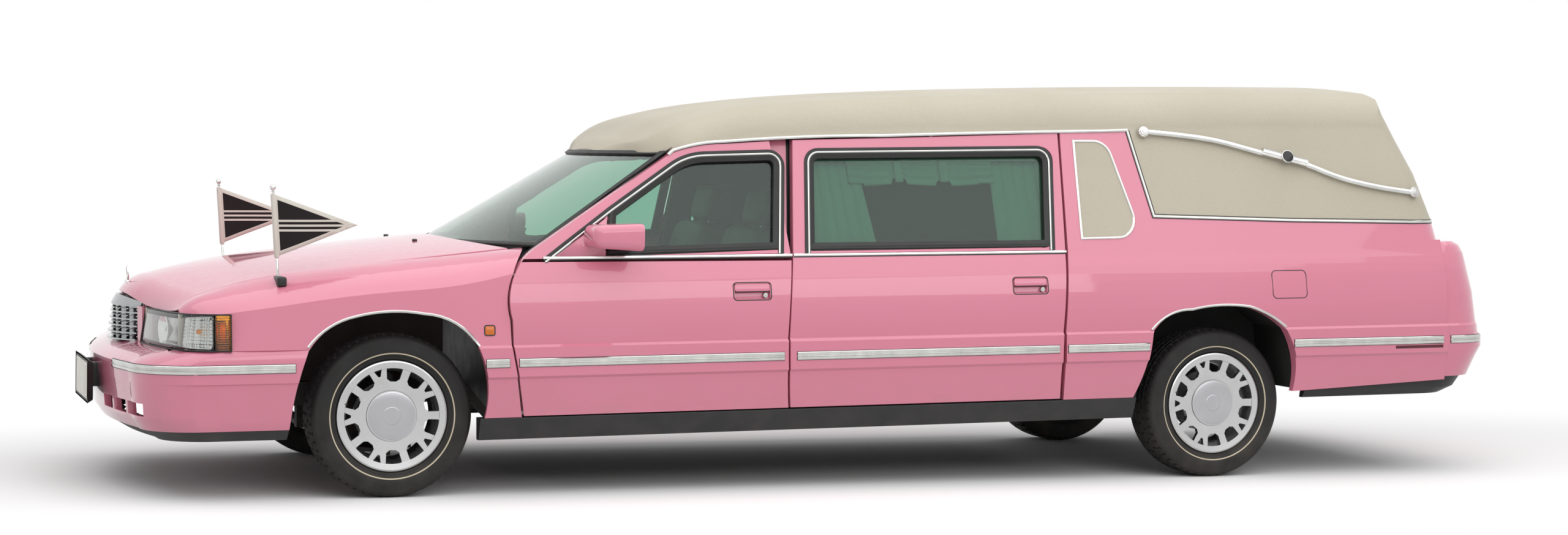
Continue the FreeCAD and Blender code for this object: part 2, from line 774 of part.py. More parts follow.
rear_skirt = loft([
    tail_outline(285, wide(885), R(-1270), 180, R(-440), 38),
    tail_outline(314, wide(907.7), R(-1330), 185, R(-440), 38),
    tail_outline(366 - seat_gap, wide(907.7), R(-1372), 185, R(-440), 38)], True)
rear_skirt = rear_skirt.cut(loft([
    tail_outline(283, wide(860), R(-1240), 160, R(-430), 38),
    tail_outline(367, wide(882), R(-1342), 165, R(-430), 38)], True))
export("sills", both(sill) + [front_skirt, rear_skirt])

deck = box(R(-1280), F(-1960), -590, 590, deck_z, deck_z + 24)
legs = []
for x in (R(1700), R(1150), R(600)):
    for y in (-480, 420):
        legs.append(box(x, x + 60, y, y + 60, 290, deck_z))
for x in (R(200), R(-600), R(-1200)):
    for y in (-480, 420):
        legs.append(box(x, x + 60, y, y + 60, 520, deck_z))
partition = box(F(-1960), F(-1930), -640, 640, 290, 1000)
export("load_deck", [deck, partition] + legs)

print("loading door")
loading = cabin_shell.common(loading_upper(0))
loading = loading.common(box(R(-1500), R(-700), -1000, 1000, 962, loading_top))
shelf = plan([
    (R(-1170), -loading_half), (R(-1300), -loading_half), (R(-1330), 0, 1),
    (R(-1300), loading_half), (R(-1170), loading_half), (R(-1195), 0, 1)], 945, 976)
low = tail_shell.common(box(
    R(-1500), R(-900), -loading_half, loading_half, loading_low, 976))
loading = fuse([loading, shelf, low] + door_leaves)
rear_glass_cut = box(R(-1300), R(-900), -430, 430, 1080, 1440)
glass_outer = cabin_tail_form(14).cut(cabin_tail_form(14 + glass_thickness))
loading_pane = glass_outer.common(rear_glass_cut)
loading = loading.cut(rear_glass_cut)
export("loading_door", loading)
export("loading_pane", loading_pane)

print("trim, lamps and flags")
lamps = both(tail_lamp)
amber_low = [(F(700), wide(944)), (F(640), wide(955)), (F(640), wide(880)), (F(700), 850)]
amber_high = [(F(700), wide(936)), (F(640), wide(950)), (F(640), wide(880)), (F(700), 850)]
lamps += both(loft([closed(amber_low, at_z(lamp_low_z)), closed(amber_high, at_z(lamp_high_z))], True))
export("signal_lamps", lamps)

plate_x = F(1116)
bracket = box(F(1050), plate_x, -plate_width / 2, plate_width / 2, 352, 536)
bracket = bracket.cut(box(F(1000), plate_x - 10, -plate_width / 2 + 14, plate_width / 2 - 14, 300, 480))
plate = box(plate_x, plate_x + 4, -plate_width / 2 + 10, plate_width / 2 - 10, 362, 526)
plate = raked(fuse([bracket.cut(bumper), plate]))
tilt = math.radians(rake_degrees)
plate_z = 444 * math.cos(tilt) - 1118 * math.sin(tilt)
for y in (-150, 150):
    plate = plate.cut(Part.makeCylinder(plate_hole_radius, 60, V(F(1080), y, plate_z), V(1, 0, 0)))
export("number_plate", plate, False)


def flag(y):
    foot = V(F(425), y, 880)
    top = V(F(443), y, 1228)
    staff = tube_between(foot, top, 5)
    base = Part.makeCylinder(12, 26, V(F(425), y, 862), V(0, 0, 1))
    ball = Part.makeSphere(12, V(F(444), y, 1240))
    sleeve = tube_between(V(F(429), y, 959), V(F(442), y, 1216), 11)
    cloth = side([(F(430), 965), (F(443), 1214), (F(104), 1087)], y - 2, y + 2)
    return fuse([staff, base, ball, sleeve, cloth])


flag_left = max(flag(flag_spacing / 2).cut(fender).Solids, key=lambda q: q.Volume)
export("flags", both(flag_left))

bar_line = [
    (R(271), 1465), (R(-69), 1425), (R(-284), 1372), (R(-400), 1350), (R(-501), 1320),
    (R(-668), 1260), (R(-1032), 1193),
]


def landau():
    rods = []
    for (x0, z0), (x1, z1) in zip(bar_line[:-1], bar_line[1:]):
        rods.append(tube_between(V(x0, tumble(z0) + 22, z0), V(x1, tumble(z1) + 22, z1), 9))
    for x, z in bar_line[1:-1]:
        rods.append(Part.makeSphere(9, V(x, tumble(z) + 22, z)))
    for x, z in (bar_line[0], bar_line[-1]):
        y = tumble(z)
        rods.append(Part.makeCylinder(20, 34, V(x, y - 4, z), V(0, 1, 0)))
    x, z = bar_line[3]
    rods.append(Part.makeCylinder(26, 36, V(x, tumble(z) - 4, z), V(0, 1, 0)))
    return fuse(rods).cut(cabin_outer)


export("landau_bars", both(landau()))

print("cabin fittings")
dash = side([
    (F(-620), 700), (F(-620), 955), (F(-860), 940), (F(-900), 880), (F(-860), 700),
], -post_y, post_y)
column = tube_between(V(F(-880), 370, 820), V(F(-1012), 370, 873), 26)
wheel_ring = Part.makeTorus(180, 14, V(F(-1010), 370, 872), V(-120, 0, 48))
spoke = box(F(-1016), F(-1004), 200, 540, 860, 884)
export("dashboard", fuse([dash, column, wheel_ring, spoke]))


def seat(y):
    w = 250
    base = box(F(-1560), F(-1100), y - 200, y + 200, 290, 410)
    cushion = side([
        (F(-1580), 380), (F(-1060), 400), (F(-1040), 480), (F(-1090), 520), (F(-1580), 500)],
        y - w, y + w)
    back = side([
        (F(-1490), 480), (F(-1600), 480), (F(-1720), 1020), (F(-1690), 1050), (F(-1630), 1050),
        (F(-1590), 1000)], y - w, y + w)
    rest = side([
        (F(-1640), 1060), (F(-1730), 1060), (F(-1750), 1200), (F(-1690), 1220), (F(-1660), 1200)],
        y - 130, y + 130)
    neck = box(F(-1690), F(-1670), y - 60, y + 60, 1040, 1070)
    return fuse([base, cushion, back, rest, neck])


export("seats", [seat(370), seat(-370)])

print("chassis arms, engine and tank")
king_y = track / 2 - king_offset
arm_low_z = 158.0
arm_high_z = 480.0
rail_welds = [F(900), F(-540), R(560), R(-1320)]
chassis = [raked(rail) for rail in cross_rails]
for s, rail in zip((-1, 1), side_rails):
    low_arm = plan([
        (front_axle_x - 18, s * (king_y + 16)), (front_axle_x + 18, s * (king_y + 16)),
        (front_axle_x + 24, s * 620), (front_axle_x + 160, s * 470),
        (front_axle_x - 160, s * 470), (front_axle_x - 24, s * 620),
    ], arm_low_z, arm_low_z + 16)
    high_arm = plan([
        (front_axle_x - 16, s * (king_y + 16)), (front_axle_x + 16, s * (king_y + 16)),
        (front_axle_x + 24, s * 620), (front_axle_x + 90, s * 440),
        (front_axle_x - 90, s * 440), (front_axle_x - 24, s * 620),
    ], arm_high_z, arm_high_z + 14)
    high_block = box(front_axle_x - 90, front_axle_x + 90, s * 450 - 30, s * 450 + 30,
                     430, arm_high_z + 14)
    low_block = box(front_axle_x - 160, front_axle_x + 160, s * 450 - 30, s * 450 + 30,
                    arm_low_z, 370)
    spans = []
    for ahead, behind in zip(rail_welds, rail_welds[1:]):
        spans.append(raked(rail.common(box(behind, ahead, -outside_y, outside_y, 0, 900))))
    chassis += [fuse([spans[0], low_arm, high_arm, high_block, low_block]), spans[1], spans[2]]
export("chassis", chassis, False)
engine = box(F(-330), F(420), -340, 340, 330, 800)
mounts = box(F(0), F(80), -415, 415, 380, 430)
export("engine", raked(fuse([engine, mounts])).cut(chassis), False)
tank = box(R(-1150), R(-420), -415 + seat_gap, 415 - seat_gap, 300, 440)
pipe_z = 262 - 28 - seat_gap
pipe = tube_between(V(F(-560), 200, pipe_z), V(R(600), 200, pipe_z), 28)
export("tank_and_exhaust", [tank, pipe])

print("wheels")


def revolve(points):
    wire = closed(points, lambda p: V(0, p[1], p[0]))
    return Part.Face(wire).revolve(V(0, 0, 0), V(0, 1, 0), 360)


half_tread = tyre_width / 2
tyre_shape = revolve([
    (207, 70), (209, 86), (224, 90), (229, 99), (262, half_tread, 1), (304, 104), (322, 92, 1),
    (tyre_radius, 66), (tyre_radius, -66), (322, -92, 1), (304, -104), (262, -half_tread, 1),
    (229, -99), (224, -90), (209, -86), (207, -70), (222, -74), (258, -96, 1), (296, -90), (312, -60),
    (312, 60), (296, 90), (258, 96, 1), (222, 74),
])
rim_shape = revolve([
    (192, 98), (216, 102), (rim_radius, 99), (rim_radius - 2, 92), (206, 88), (206, 60),
    (186, 40), (186, -40), (206, -60), (206, -88), (rim_radius - 2, -91), (rim_radius - 2, -97),
    (198, -97), (194, -60), (176, -42), (176, 40), (180, 62),
])
face = revolve([
    (0, 92), (cap_radius, 90), (cap_radius + 1, 86), (150, 90), (204, 96), (204, 74),
    (150, 68), (90, 62), (0, 62),
])


def polar(radius, degrees, y=0.0):
    a = math.radians(degrees)
    return V(radius * math.cos(a), y, radius * math.sin(a))


def slot(points, turn):
    wire = Part.makePolygon([polar(r, a + turn, 20) for r, a in points + points[:1]])
    return Part.Face(wire).extrude(V(0, 120, 0))


big_slot = [(138, 15), (150, 10), (190, 11), (199, 16), (199, 27), (188, 31), (150, 30), (138, 25)]
small_slot = [(164, -1.5), (164, 1.5), (198, 5.5), (200, 3), (200, -3), (198, -5.5)]
cuts = []
for k in range(5):
    turn = 72 * k
    cuts.append(slot(small_slot, turn))
    cuts.append(slot(big_slot, turn))
    cuts.append(slot([(r, -a) for r, a in reversed(big_slot)], turn))
face = face.cut(Part.makeCompound(cuts))
hub = revolve([
    (0, 70), (62, 70), (62, -30), (130, -30), (130, -54), (44, -54), (44, -40), (0, -40)])
wheel_shape = fuse([rim_shape, face, hub])


def place_wheel(shape, x, s):
    out = shape.copy() if s > 0 else mirror(shape)
    out.translate(V(x, s * track / 2, tyre_radius))
    return out


for end, x in (("front", front_axle_x), ("rear", rear_axle_x)):
    for name, s in (("left", 1), ("right", -1)):
        export("tyre_" + end + "_" + name, place_wheel(tyre_shape, x, s), False)
        export("wheel_" + end + "_" + name, place_wheel(wheel_shape, x, s), False)

for name, s in (("left", 1), ("right", -1)):
    low_z = arm_low_z + 16 + seat_gap
    high_z = arm_high_z - seat_gap
    upright = box(front_axle_x - 34, front_axle_x + 34, king_y - 45, king_y - 25, low_z, high_z)
    low_boss = box(front_axle_x - 18, front_axle_x + 18, king_y - 45, king_y + 14, low_z, 191)
    high_boss = box(front_axle_x - 18, front_axle_x + 18, king_y - 45, king_y + 14, 465, high_z)
    reach = track / 2 - 40 - seat_gap - (king_y - 30)
    stub = Part.makeCylinder(36, reach, V(front_axle_x, king_y - 30, tyre_radius), V(0, 1, 0))
    knuckle = fuse([upright, low_boss, high_boss, stub])
    if s < 0:
        knuckle = mirror(knuckle)
    export("knuckle_" + name, knuckle, False)

axle_end = track / 2 - 40 - seat_gap
beam_half = axle_end - 33
beam = Part.makeCylinder(42, 2 * beam_half, V(rear_axle_x, -beam_half, tyre_radius), V(0, 1, 0))
stubs = Part.makeCylinder(36, 2 * axle_end, V(rear_axle_x, -axle_end, tyre_radius), V(0, 1, 0))
springs = []
for s in (-1, 1):
    pad = box(rear_axle_x - 60, rear_axle_x + 60, s * 450 - 30, s * 450 + 30, 360, 560)
    springs.append(pad.cut(raked(side(rail_path, -600, 600))))
springs = [min(p.Solids, key=lambda q: q.BoundBox.ZMin) for p in springs]
export("rear_axle", fuse([beam, stubs] + springs), False)
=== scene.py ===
import json
import math
import bpy
import bmesh
from mathutils import Matrix, Vector
from mathutils.bvhtree import BVHTree

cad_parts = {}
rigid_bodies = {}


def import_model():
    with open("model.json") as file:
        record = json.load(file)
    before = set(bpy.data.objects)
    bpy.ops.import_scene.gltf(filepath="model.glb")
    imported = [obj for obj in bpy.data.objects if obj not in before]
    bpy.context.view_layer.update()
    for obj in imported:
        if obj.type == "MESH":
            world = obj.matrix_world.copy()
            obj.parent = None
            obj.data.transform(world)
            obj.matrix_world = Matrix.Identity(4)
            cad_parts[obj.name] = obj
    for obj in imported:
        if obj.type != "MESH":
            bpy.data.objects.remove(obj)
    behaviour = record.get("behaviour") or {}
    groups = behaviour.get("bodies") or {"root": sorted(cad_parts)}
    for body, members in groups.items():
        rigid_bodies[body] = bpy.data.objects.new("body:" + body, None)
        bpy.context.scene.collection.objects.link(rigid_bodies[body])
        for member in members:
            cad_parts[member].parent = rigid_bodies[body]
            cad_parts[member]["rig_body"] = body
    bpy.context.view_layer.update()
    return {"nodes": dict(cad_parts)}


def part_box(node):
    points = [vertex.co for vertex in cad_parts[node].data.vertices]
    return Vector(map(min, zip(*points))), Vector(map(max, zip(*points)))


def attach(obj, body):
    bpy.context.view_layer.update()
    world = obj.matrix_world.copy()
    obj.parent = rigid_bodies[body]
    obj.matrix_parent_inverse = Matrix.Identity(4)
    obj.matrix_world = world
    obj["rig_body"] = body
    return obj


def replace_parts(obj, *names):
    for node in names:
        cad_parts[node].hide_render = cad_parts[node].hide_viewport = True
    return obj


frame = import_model()
nodes = frame["nodes"]
scene = bpy.context.scene
print("frame loaded")

# The body is drawn level and sits nose down about the front axle; the wheels give its two axles.
car = {
    "rake": math.radians(0.89),
    "frontAxle": (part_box("tyre_front_left")[0].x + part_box("tyre_front_left")[1].x) / 2,
    "rearAxle": (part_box("tyre_rear_left")[0].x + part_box("tyre_rear_left")[1].x) / 2,
    "wheelMiddle": (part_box("wheel_front_left")[0].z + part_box("wheel_front_left")[1].z) / 2,
}
farOff = {"side": 1.4, "above": 2.5, "behind": -2.6}    # where rays start, clear of the body


def place(x, y, z):
    run = x - car["frontAxle"]
    c, s = math.cos(car["rake"]), math.sin(car["rake"])
    return Vector((car["frontAxle"] + run * c + z * s, y, z * c - run * s))


def front(run):
    return car["frontAxle"] + run


def rear(run):
    return car["rearAxle"] + run


def fromMiddle(run):    # a station from the point halfway between the axles
    return (car["frontAxle"] + car["rearAxle"]) / 2 + run


skins = {}


def skin(names):
    key = tuple(names)
    if key not in skins:
        points, faces = [], []
        for name in names:
            mesh = nodes[name].data
            base = len(points)
            points += [v.co.copy() for v in mesh.vertices]
            faces += [[base + i for i in p.vertices] for p in mesh.polygons]
        skins[key] = BVHTree.FromPolygons(points, faces)
    return skins[key]


def hitFrom(names, start, aim):
    hit, normal = skin(names).ray_cast(start, (aim - start).normalized())[:2]
    if hit is None:
        raise ValueError("nothing of %s lies from %s to %s" % (names, tuple(start), tuple(aim)))
    return hit, normal


def onSide(names, x, z):    # the left side's skin at a station and height
    return hitFrom(names, place(x, farOff["side"], z), place(x, 0, z))


def onTop(names, x, y):
    return hitFrom(names, place(x, y, farOff["above"]), place(x, y, 0))


def vertsOf(geom):
    return [g for g in geom if isinstance(g, bmesh.types.BMVert)]


def edgesOf(geom):
    return [g for g in geom if isinstance(g, bmesh.types.BMEdge)]


def whole(bm):
    return bm.verts[:] + bm.edges[:] + bm.faces[:]


def withEdges(faces):    # faces with their edges and corners, each once and always in the same order
    geom = faces + [e for f in faces for e in f.edges] + [v for f in faces for v in f.verts]
    return list(dict.fromkeys(geom))


def creased(bm, angle):    # the edges that turn by more than the angle
    return [e for e in bm.edges if e.calc_face_angle(0) > angle]


def softened(bm, geom, offset, segments, affect="EDGES", **settings):
    bmesh.ops.bevel(bm, geom=geom, offset=offset, segments=segments, affect=affect, profile=0.5, material=-1,
                    **settings)


def outwardFaces(bm, way):    # turns a sheet's faces so that they look along a direction
    bmesh.ops.recalc_face_normals(bm, faces=bm.faces)
    if sum(f.normal.dot(Vector(way)) for f in bm.faces) < 0:
        bmesh.ops.reverse_faces(bm, faces=bm.faces)


def formed(columns, rows, at):    # a sheet whose points are placed by their shares across and up
    bm = bmesh.new()
    bmesh.ops.create_grid(bm, x_segments=columns, y_segments=rows, size=0.5)
    for vert in bm.verts:
        vert.co = at(vert.co.x + 0.5, vert.co.y + 0.5)
    bmesh.ops.recalc_face_normals(bm, faces=bm.faces)
    return bm


def sweep(profile, stations, closed=False):    # draws a section along stations of (point, outward)
    bm = bmesh.new()
    count = len(stations)
    places = []
    for i, (point, out) in enumerate(stations):
        before = stations[i - 1][0] if i or closed else None
        after = stations[(i + 1) % count][0] if closed or i + 1 < count else None
        came = (point - before).normalized() if before else (after - point).normalized()
        goes = (after - point).normalized() if after else came
        along = (came + goes).normalized()
        out = (out - along * out.dot(along)).normalized()
        across = out.cross(along)
        bend = came.cross(goes)
        if abs(bend.dot(out)) > abs(bend.dot(across)):
            across = across / max(0.45, came.dot(along))
        spot = Matrix((across, out, along)).transposed().to_4x4()
        spot.translation = point
        places.append(spot)
    if closed:
        places.append(places[0])
    ring = [bm.verts.new(places[0] @ Vector((a, o, 0))) for a, o in profile]
    edges = [bm.edges.new((ring[i - 1], ring[i])) for i in range(len(ring))]
    firstEdges = list(edges)
    for i in range(1, len(places)):
        made = bmesh.ops.extrude_edge_only(bm, edges=edges)["geom"]
        verts = vertsOf(made)
        edges = [e for e in edgesOf(made) if e.verts[0] in verts and e.verts[1] in verts]
        bmesh.ops.transform(bm, matrix=places[i] @ places[i - 1].inverted(), verts=verts)
    if closed:
        bmesh.ops.remove_doubles(bm, verts=bm.verts, dist=1e-6)
    else:
        bmesh.ops.edgeloop_fill(bm, edges=firstEdges)
        bmesh.ops.edgeloop_fill(bm, edges=edges)
    bmesh.ops.recalc_face_normals(bm, faces=bm.faces)
    return bm


def rounded(points, steps=5):    # (x, z, radius) corners to an outline with round corners
    out = []
    count = len(points)
    for i, (x, z, radius) in enumerate(points):
        here = Vector((x, z))
        a = Vector(points[i - 1][:2]) - here
        b = Vector(points[(i + 1) % count][:2]) - here
        if radius <= 0:
            out.append((x, z))
            continue
        a.normalize()
        b.normalize()
        half = math.acos(max(-1, min(1, a.dot(b)))) / 2
        reach = radius / math.tan(half)
        middle = here + (a + b).normalized() * (radius / math.sin(half))
        start = here + a * reach - middle
        finish = here + b * reach - middle
        turn = math.atan2(start.x * finish.y - start.y * finish.x, start.dot(finish))
        for k in range(steps + 1):
            angle = turn * k / steps
            c, s = math.cos(angle), math.sin(angle)
            p = middle + Vector((start.x * c - start.y * s, start.x * s + start.y * c))
            out.append((p.x, p.y))
    return out


def between(points, gap):    # extra points so that no run is longer than the gap
    out = []
    for a, b in zip(points, points[1:]):
        steps = max(1, math.ceil((Vector(b[:2]) - Vector(a[:2])).length / gap))
        for k in range(steps):
            t = k / steps
            out.append(tuple(p + (q - p) * t for p, q in zip(a, b)))
    out.append(points[-1])
    return out


def mirrored(bm):
    other = bm.copy()
    bmesh.ops.scale(other, vec=(1, -1, 1), verts=other.verts)
    bmesh.ops.recalc_face_normals(other, faces=other.faces)
    return other


def piece(name, bm, finish, body, sharp=35):
    mesh = bpy.data.meshes.new(name)
    bm.to_mesh(mesh)
    bm.free()
    mesh.polygons.foreach_set("use_smooth", [True] * len(mesh.polygons))
    mesh.set_sharp_from_angle(angle=math.radians(sharp))
    obj = bpy.data.objects.new(name, mesh)
    scene.collection.objects.link(obj)
    for one in finish if isinstance(finish, (list, tuple)) else [finish]:
        mesh.materials.append(one)
    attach(obj, body)
    return obj


def pair(name, bm, finish, bodies, sharp=35):    # the left piece and its mirror image
    other = mirrored(bm)
    if isinstance(bodies, str):
        bodies = (bodies, bodies)
    return [piece(name + "Left", bm, finish, bodies[0], sharp),
            piece(name + "Right", other, finish, bodies[1], sharp)]


def doorBodies(end):
    return (end + "_door_left", end + "_door_right")


# A merged, smoothly shaded copy of a CAD node with softened edges stands for it.
def dressed(name, finish, edge=0.0, sharp=30, change=None):
    bm = bmesh.new()
    bm.from_mesh(nodes[name].data)
    bmesh.ops.remove_doubles(bm, verts=bm.verts, dist=2e-5)
    if change:
        change(bm)
    bmesh.ops.dissolve_limit(bm, angle_limit=math.radians(0.4), verts=bm.verts, edges=bm.edges)
    obj = piece(name + ".skin", bm, finish, nodes[name]["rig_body"], sharp)
    if edge:
        bevel = obj.modifiers.new("edge", "BEVEL")
        bevel.width = edge
        bevel.segments = 2
        bevel.limit_method = "ANGLE"
        bevel.angle_limit = math.radians(sharp)
        bevel.harden_normals = False
    even = obj.modifiers.new("even", "WEIGHTED_NORMAL")
    even.keep_sharp = True
    even.weight = 80
    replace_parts(obj, name)
    return obj


def thickened(obj, depth, offset=-1.0):    # gives a sheet its wall
    solid = obj.modifiers.new("wall", "SOLIDIFY")
    solid.thickness = depth
    solid.offset = offset
    return obj


def linear(code):    # an sRGB hex colour as linear RGBA
    parts = [int(code[i:i + 2], 16) / 255 for i in (1, 3, 5)]
    return tuple(c / 12.92 if c <= 0.04045 else ((c + 0.055) / 1.055) ** 2.4 for c in parts) + (1.0,)


def add(tree, kind, inputs, **settings):    # adds a node, or feeds the one given; a hex string is a colour
    made = kind if isinstance(kind, bpy.types.Node) else tree.nodes.new("ShaderNode" + kind)
    for key, value in settings.items():
        setattr(made, key, value)
    for key, value in inputs.items():
        socket = made.inputs[key] if isinstance(key, int) else next(
            s for s in made.inputs if s.name == key and s.enabled)
        if isinstance(value, bpy.types.Node):
            value = next(s for s in value.outputs if s.enabled)
        if isinstance(value, bpy.types.NodeSocket):
            tree.links.new(value, socket)
        else:
            socket.default_value = linear(value) if isinstance(value, str) else value
    return made


def surface(name, **sockets):    # a material, its tree, its shader and the object coordinates
    material = bpy.data.materials.new(name)
    material.use_nodes = True
    tree = material.node_tree
    shader = tree.nodes["Principled BSDF"]
    add(tree, shader, {key.replace("_", " "): value for key, value in sockets.items()})
    return material, tree, shader, add(tree, "TexCoord", {}).outputs["Object"]


# Road dirt: thickest near the ground, broken up into streaks.
def roadDirt(tree, where, low, high, amount):
    height = add(tree, "SeparateXYZ", {"Vector": where}).outputs["Z"]
    fade = add(tree, "MapRange", {"Value": height, "From Min": low, "From Max": high,
                                  "To Min": amount, "To Max": 0.0})
    cloud = add(tree, "TexNoise", {"Vector": where, "Scale": 9.0, "Detail": 6.0})
    patch = add(tree, "MapRange", {"Value": cloud, "From Min": 0.35, "From Max": 0.65})
    return add(tree, "Math", {0: fade, 1: patch}, operation="MULTIPLY")


# Sprayed enamel under clear lacquer: a deep even gloss with a faint orange peel.
def enamel(name, colour, deep):
    material, tree, shader, where = surface(
        name, Coat_Weight=1.0, Coat_Roughness=0.03, Specular_IOR_Level=0.35)
    cloud = add(tree, "TexNoise", {"Vector": where, "Scale": 1.3, "Detail": 2.0})
    tone = add(tree, "Mix", {"Factor": cloud, "A": colour, "B": deep}, data_type="RGBA")
    dirt = roadDirt(tree, where, 0.22, 0.5, 0.22)
    tone = add(tree, "Mix", {"Factor": dirt, "A": tone, "B": "#8E8078"}, data_type="RGBA")
    film = add(tree, "TexNoise", {"Vector": where, "Scale": 30.0, "Detail": 5.0})
    haze = add(tree, "MapRange", {"Value": film, "From Min": 0.3, "From Max": 0.7,
                                  "To Min": 0.28, "To Max": 0.38})
    peel = add(tree, "TexNoise", {"Vector": where, "Scale": 260.0, "Detail": 2.0})
    relief = add(tree, "Bump", {"Height": peel, "Strength": 0.04, "Distance": 0.0004})
    add(tree, shader, {"Base Color": tone, "Roughness": haze, "Normal": relief})
    return material


# Plated or polished metal: mirror bright, with faint smears that blur it in patches.
def brightMetal(name, colour, low, high, relief=0.0, size=900.0):
    material, tree, shader, where = surface(name, Metallic=1.0)
    smear = add(tree, "TexNoise", {"Vector": where, "Scale": 16.0, "Detail": 5.0})
    rough = add(tree, "MapRange", {"Value": smear, "From Min": 0.3, "From Max": 0.7,
                                   "To Min": low, "To Max": high})
    tone = add(tree, "Mix", {"Factor": smear, "A": colour, "B": "#B4B4B1"}, data_type="RGBA")
    add(tree, shader, {"Base Color": tone, "Roughness": rough})
    if relief:
        grain = add(tree, "TexNoise", {"Vector": where, "Scale": size, "Detail": 2.0})
        bump = add(tree, "Bump", {"Height": grain, "Strength": relief, "Distance": 0.0004})
        add(tree, shader, {"Normal": bump})
    return material


# Moulded plastic, rubber or plain paint: a fine even texture, worn paler in patches.
def moulded(name, colour, worn, rough, size=500.0, relief=0.15, dirt=0.0, shine=0.5):
    material, tree, shader, where = surface(name, Specular_IOR_Level=shine)
    patch = add(tree, "TexNoise", {"Vector": where, "Scale": 14.0, "Detail": 5.0})
    tone = add(tree, "Mix", {"Factor": patch, "A": colour, "B": worn}, data_type="RGBA")
    if dirt:
        soil = roadDirt(tree, where, 0.16, 0.42, dirt)
        tone = add(tree, "Mix", {"Factor": soil, "A": tone, "B": "#7D746A"}, data_type="RGBA")
    haze = add(tree, "MapRange", {"Value": patch, "From Min": 0.3, "From Max": 0.7,
                                  "To Min": rough - 0.05, "To Max": rough + 0.07})
    grain = add(tree, "TexNoise", {"Vector": where, "Scale": size, "Detail": 3.0})
    bump = add(tree, "Bump", {"Height": grain, "Strength": relief, "Distance": 0.0006})
    add(tree, shader, {"Base Color": tone, "Roughness": haze, "Normal": bump})
    return material


# Grained vinyl or leather: pebbles between fine creases, each pebble a few millimetres across, with painted
# shade darkening the creases.
def pebbled(name, colour, worn, creaseShade, size, rough, relief):
    material, tree, shader, where = surface(name, Specular_IOR_Level=0.4)
    wander = add(tree, "TexNoise", {"Vector": where, "Scale": size * 0.5, "Detail": 2.0})
    small = add(tree, "VectorMath", {0: wander.outputs["Color"], 1: (0.9 / size,) * 3}, operation="MULTIPLY")
    moved = add(tree, "VectorMath", {0: where, 1: small})
    cells = add(tree, "TexVoronoi", {"Vector": moved, "Scale": size}, feature="DISTANCE_TO_EDGE")
    pebble = add(tree, "MapRange", {"Value": cells, "From Min": 0.0, "From Max": 0.2})
    patch = add(tree, "TexNoise", {"Vector": where, "Scale": 2.4, "Detail": 5.0})
    tone = add(tree, "Mix", {"Factor": patch, "A": colour, "B": worn}, data_type="RGBA")
    # Painted shade: the tone darkens towards the creases between the pebbles.
    dark = add(tree, "MapRange", {"Value": pebble, "To Min": 0.35, "To Max": 0.0})
    tone = add(tree, "Mix", {"Factor": dark, "A": tone, "B": creaseShade}, data_type="RGBA")
    haze = add(tree, "MapRange", {"Value": patch, "From Min": 0.3, "From Max": 0.7,
                                  "To Min": rough - 0.05, "To Max": rough + 0.07})
    bump = add(tree, "Bump", {"Height": pebble, "Strength": relief, "Distance": 0.0008})
    add(tree, shader, {"Base Color": tone, "Roughness": haze, "Normal": bump})
    return material


# Clear or tinted glass and lenses: smooth and see-through, with a faint film of dust in the tint.
def seeThrough(name, colour, dusty, rough=0.0, ior=1.45, shine=0.5):
    material, tree, shader, where = surface(
        name, Roughness=rough, Transmission_Weight=1.0, IOR=ior, Specular_IOR_Level=shine)
    film = add(tree, "TexNoise", {"Vector": where, "Scale": 5.0, "Detail": 4.0})
    tone = add(tree, "Mix", {"Factor": film, "A": colour, "B": dusty}, data_type="RGBA")
    add(tree, shader, {"Base Color": tone})
    return material


# Brushed alloy: rings turned about the axle, fine enough to catch the light as a soft sheen.
def turnedMetal(name, colour, low, high):
    material, tree, shader, where = surface(name, Metallic=1.0, Anisotropic=0.6)
    rings = add(tree, "TexNoise", {"Vector": where, "Scale": 260.0, "Detail": 3.0})
    patch = add(tree, "TexNoise", {"Vector": where, "Scale": 7.0, "Detail": 3.0})
    rough = add(tree, "MapRange", {"Value": rings, "To Min": low, "To Max": high})
    tone = add(tree, "Mix", {"Factor": patch, "A": colour, "B": "#A9A9AC"}, data_type="RGBA")
    add(tree, shader, {"Base Color": tone, "Roughness": rough})
    return material


# Woven cloth: crossed threads at their own spacing, drawn coarse enough to show.
def woven(name, colour, shade, spacing, rough=0.85):
    material, tree, shader, where = surface(
        name, Specular_IOR_Level=0.2, Sheen_Weight=0.25, Sheen_Roughness=0.5)
    threads = [add(tree, "TexWave", {"Vector": where, "Scale": 0.314 / spacing, "Distortion": 0.6},
                   bands_direction=way) for way in ("X", "Z")]
    weave = add(tree, "Math", {k: thread.outputs["Fac"] for k, thread in enumerate(threads)},
                operation="MULTIPLY")
    patch = add(tree, "TexNoise", {"Vector": where, "Scale": 5.0, "Detail": 4.0})
    tone = add(tree, "Mix", {"Factor": patch, "A": colour, "B": shade}, data_type="RGBA")
    haze = add(tree, "MapRange", {"Value": patch, "To Min": rough - 0.05, "To Max": rough + 0.05})
    bump = add(tree, "Bump", {"Height": weave, "Strength": 0.25, "Distance": 0.0004})
    add(tree, shader, {"Base Color": tone, "Roughness": haze, "Normal": bump})
    return material


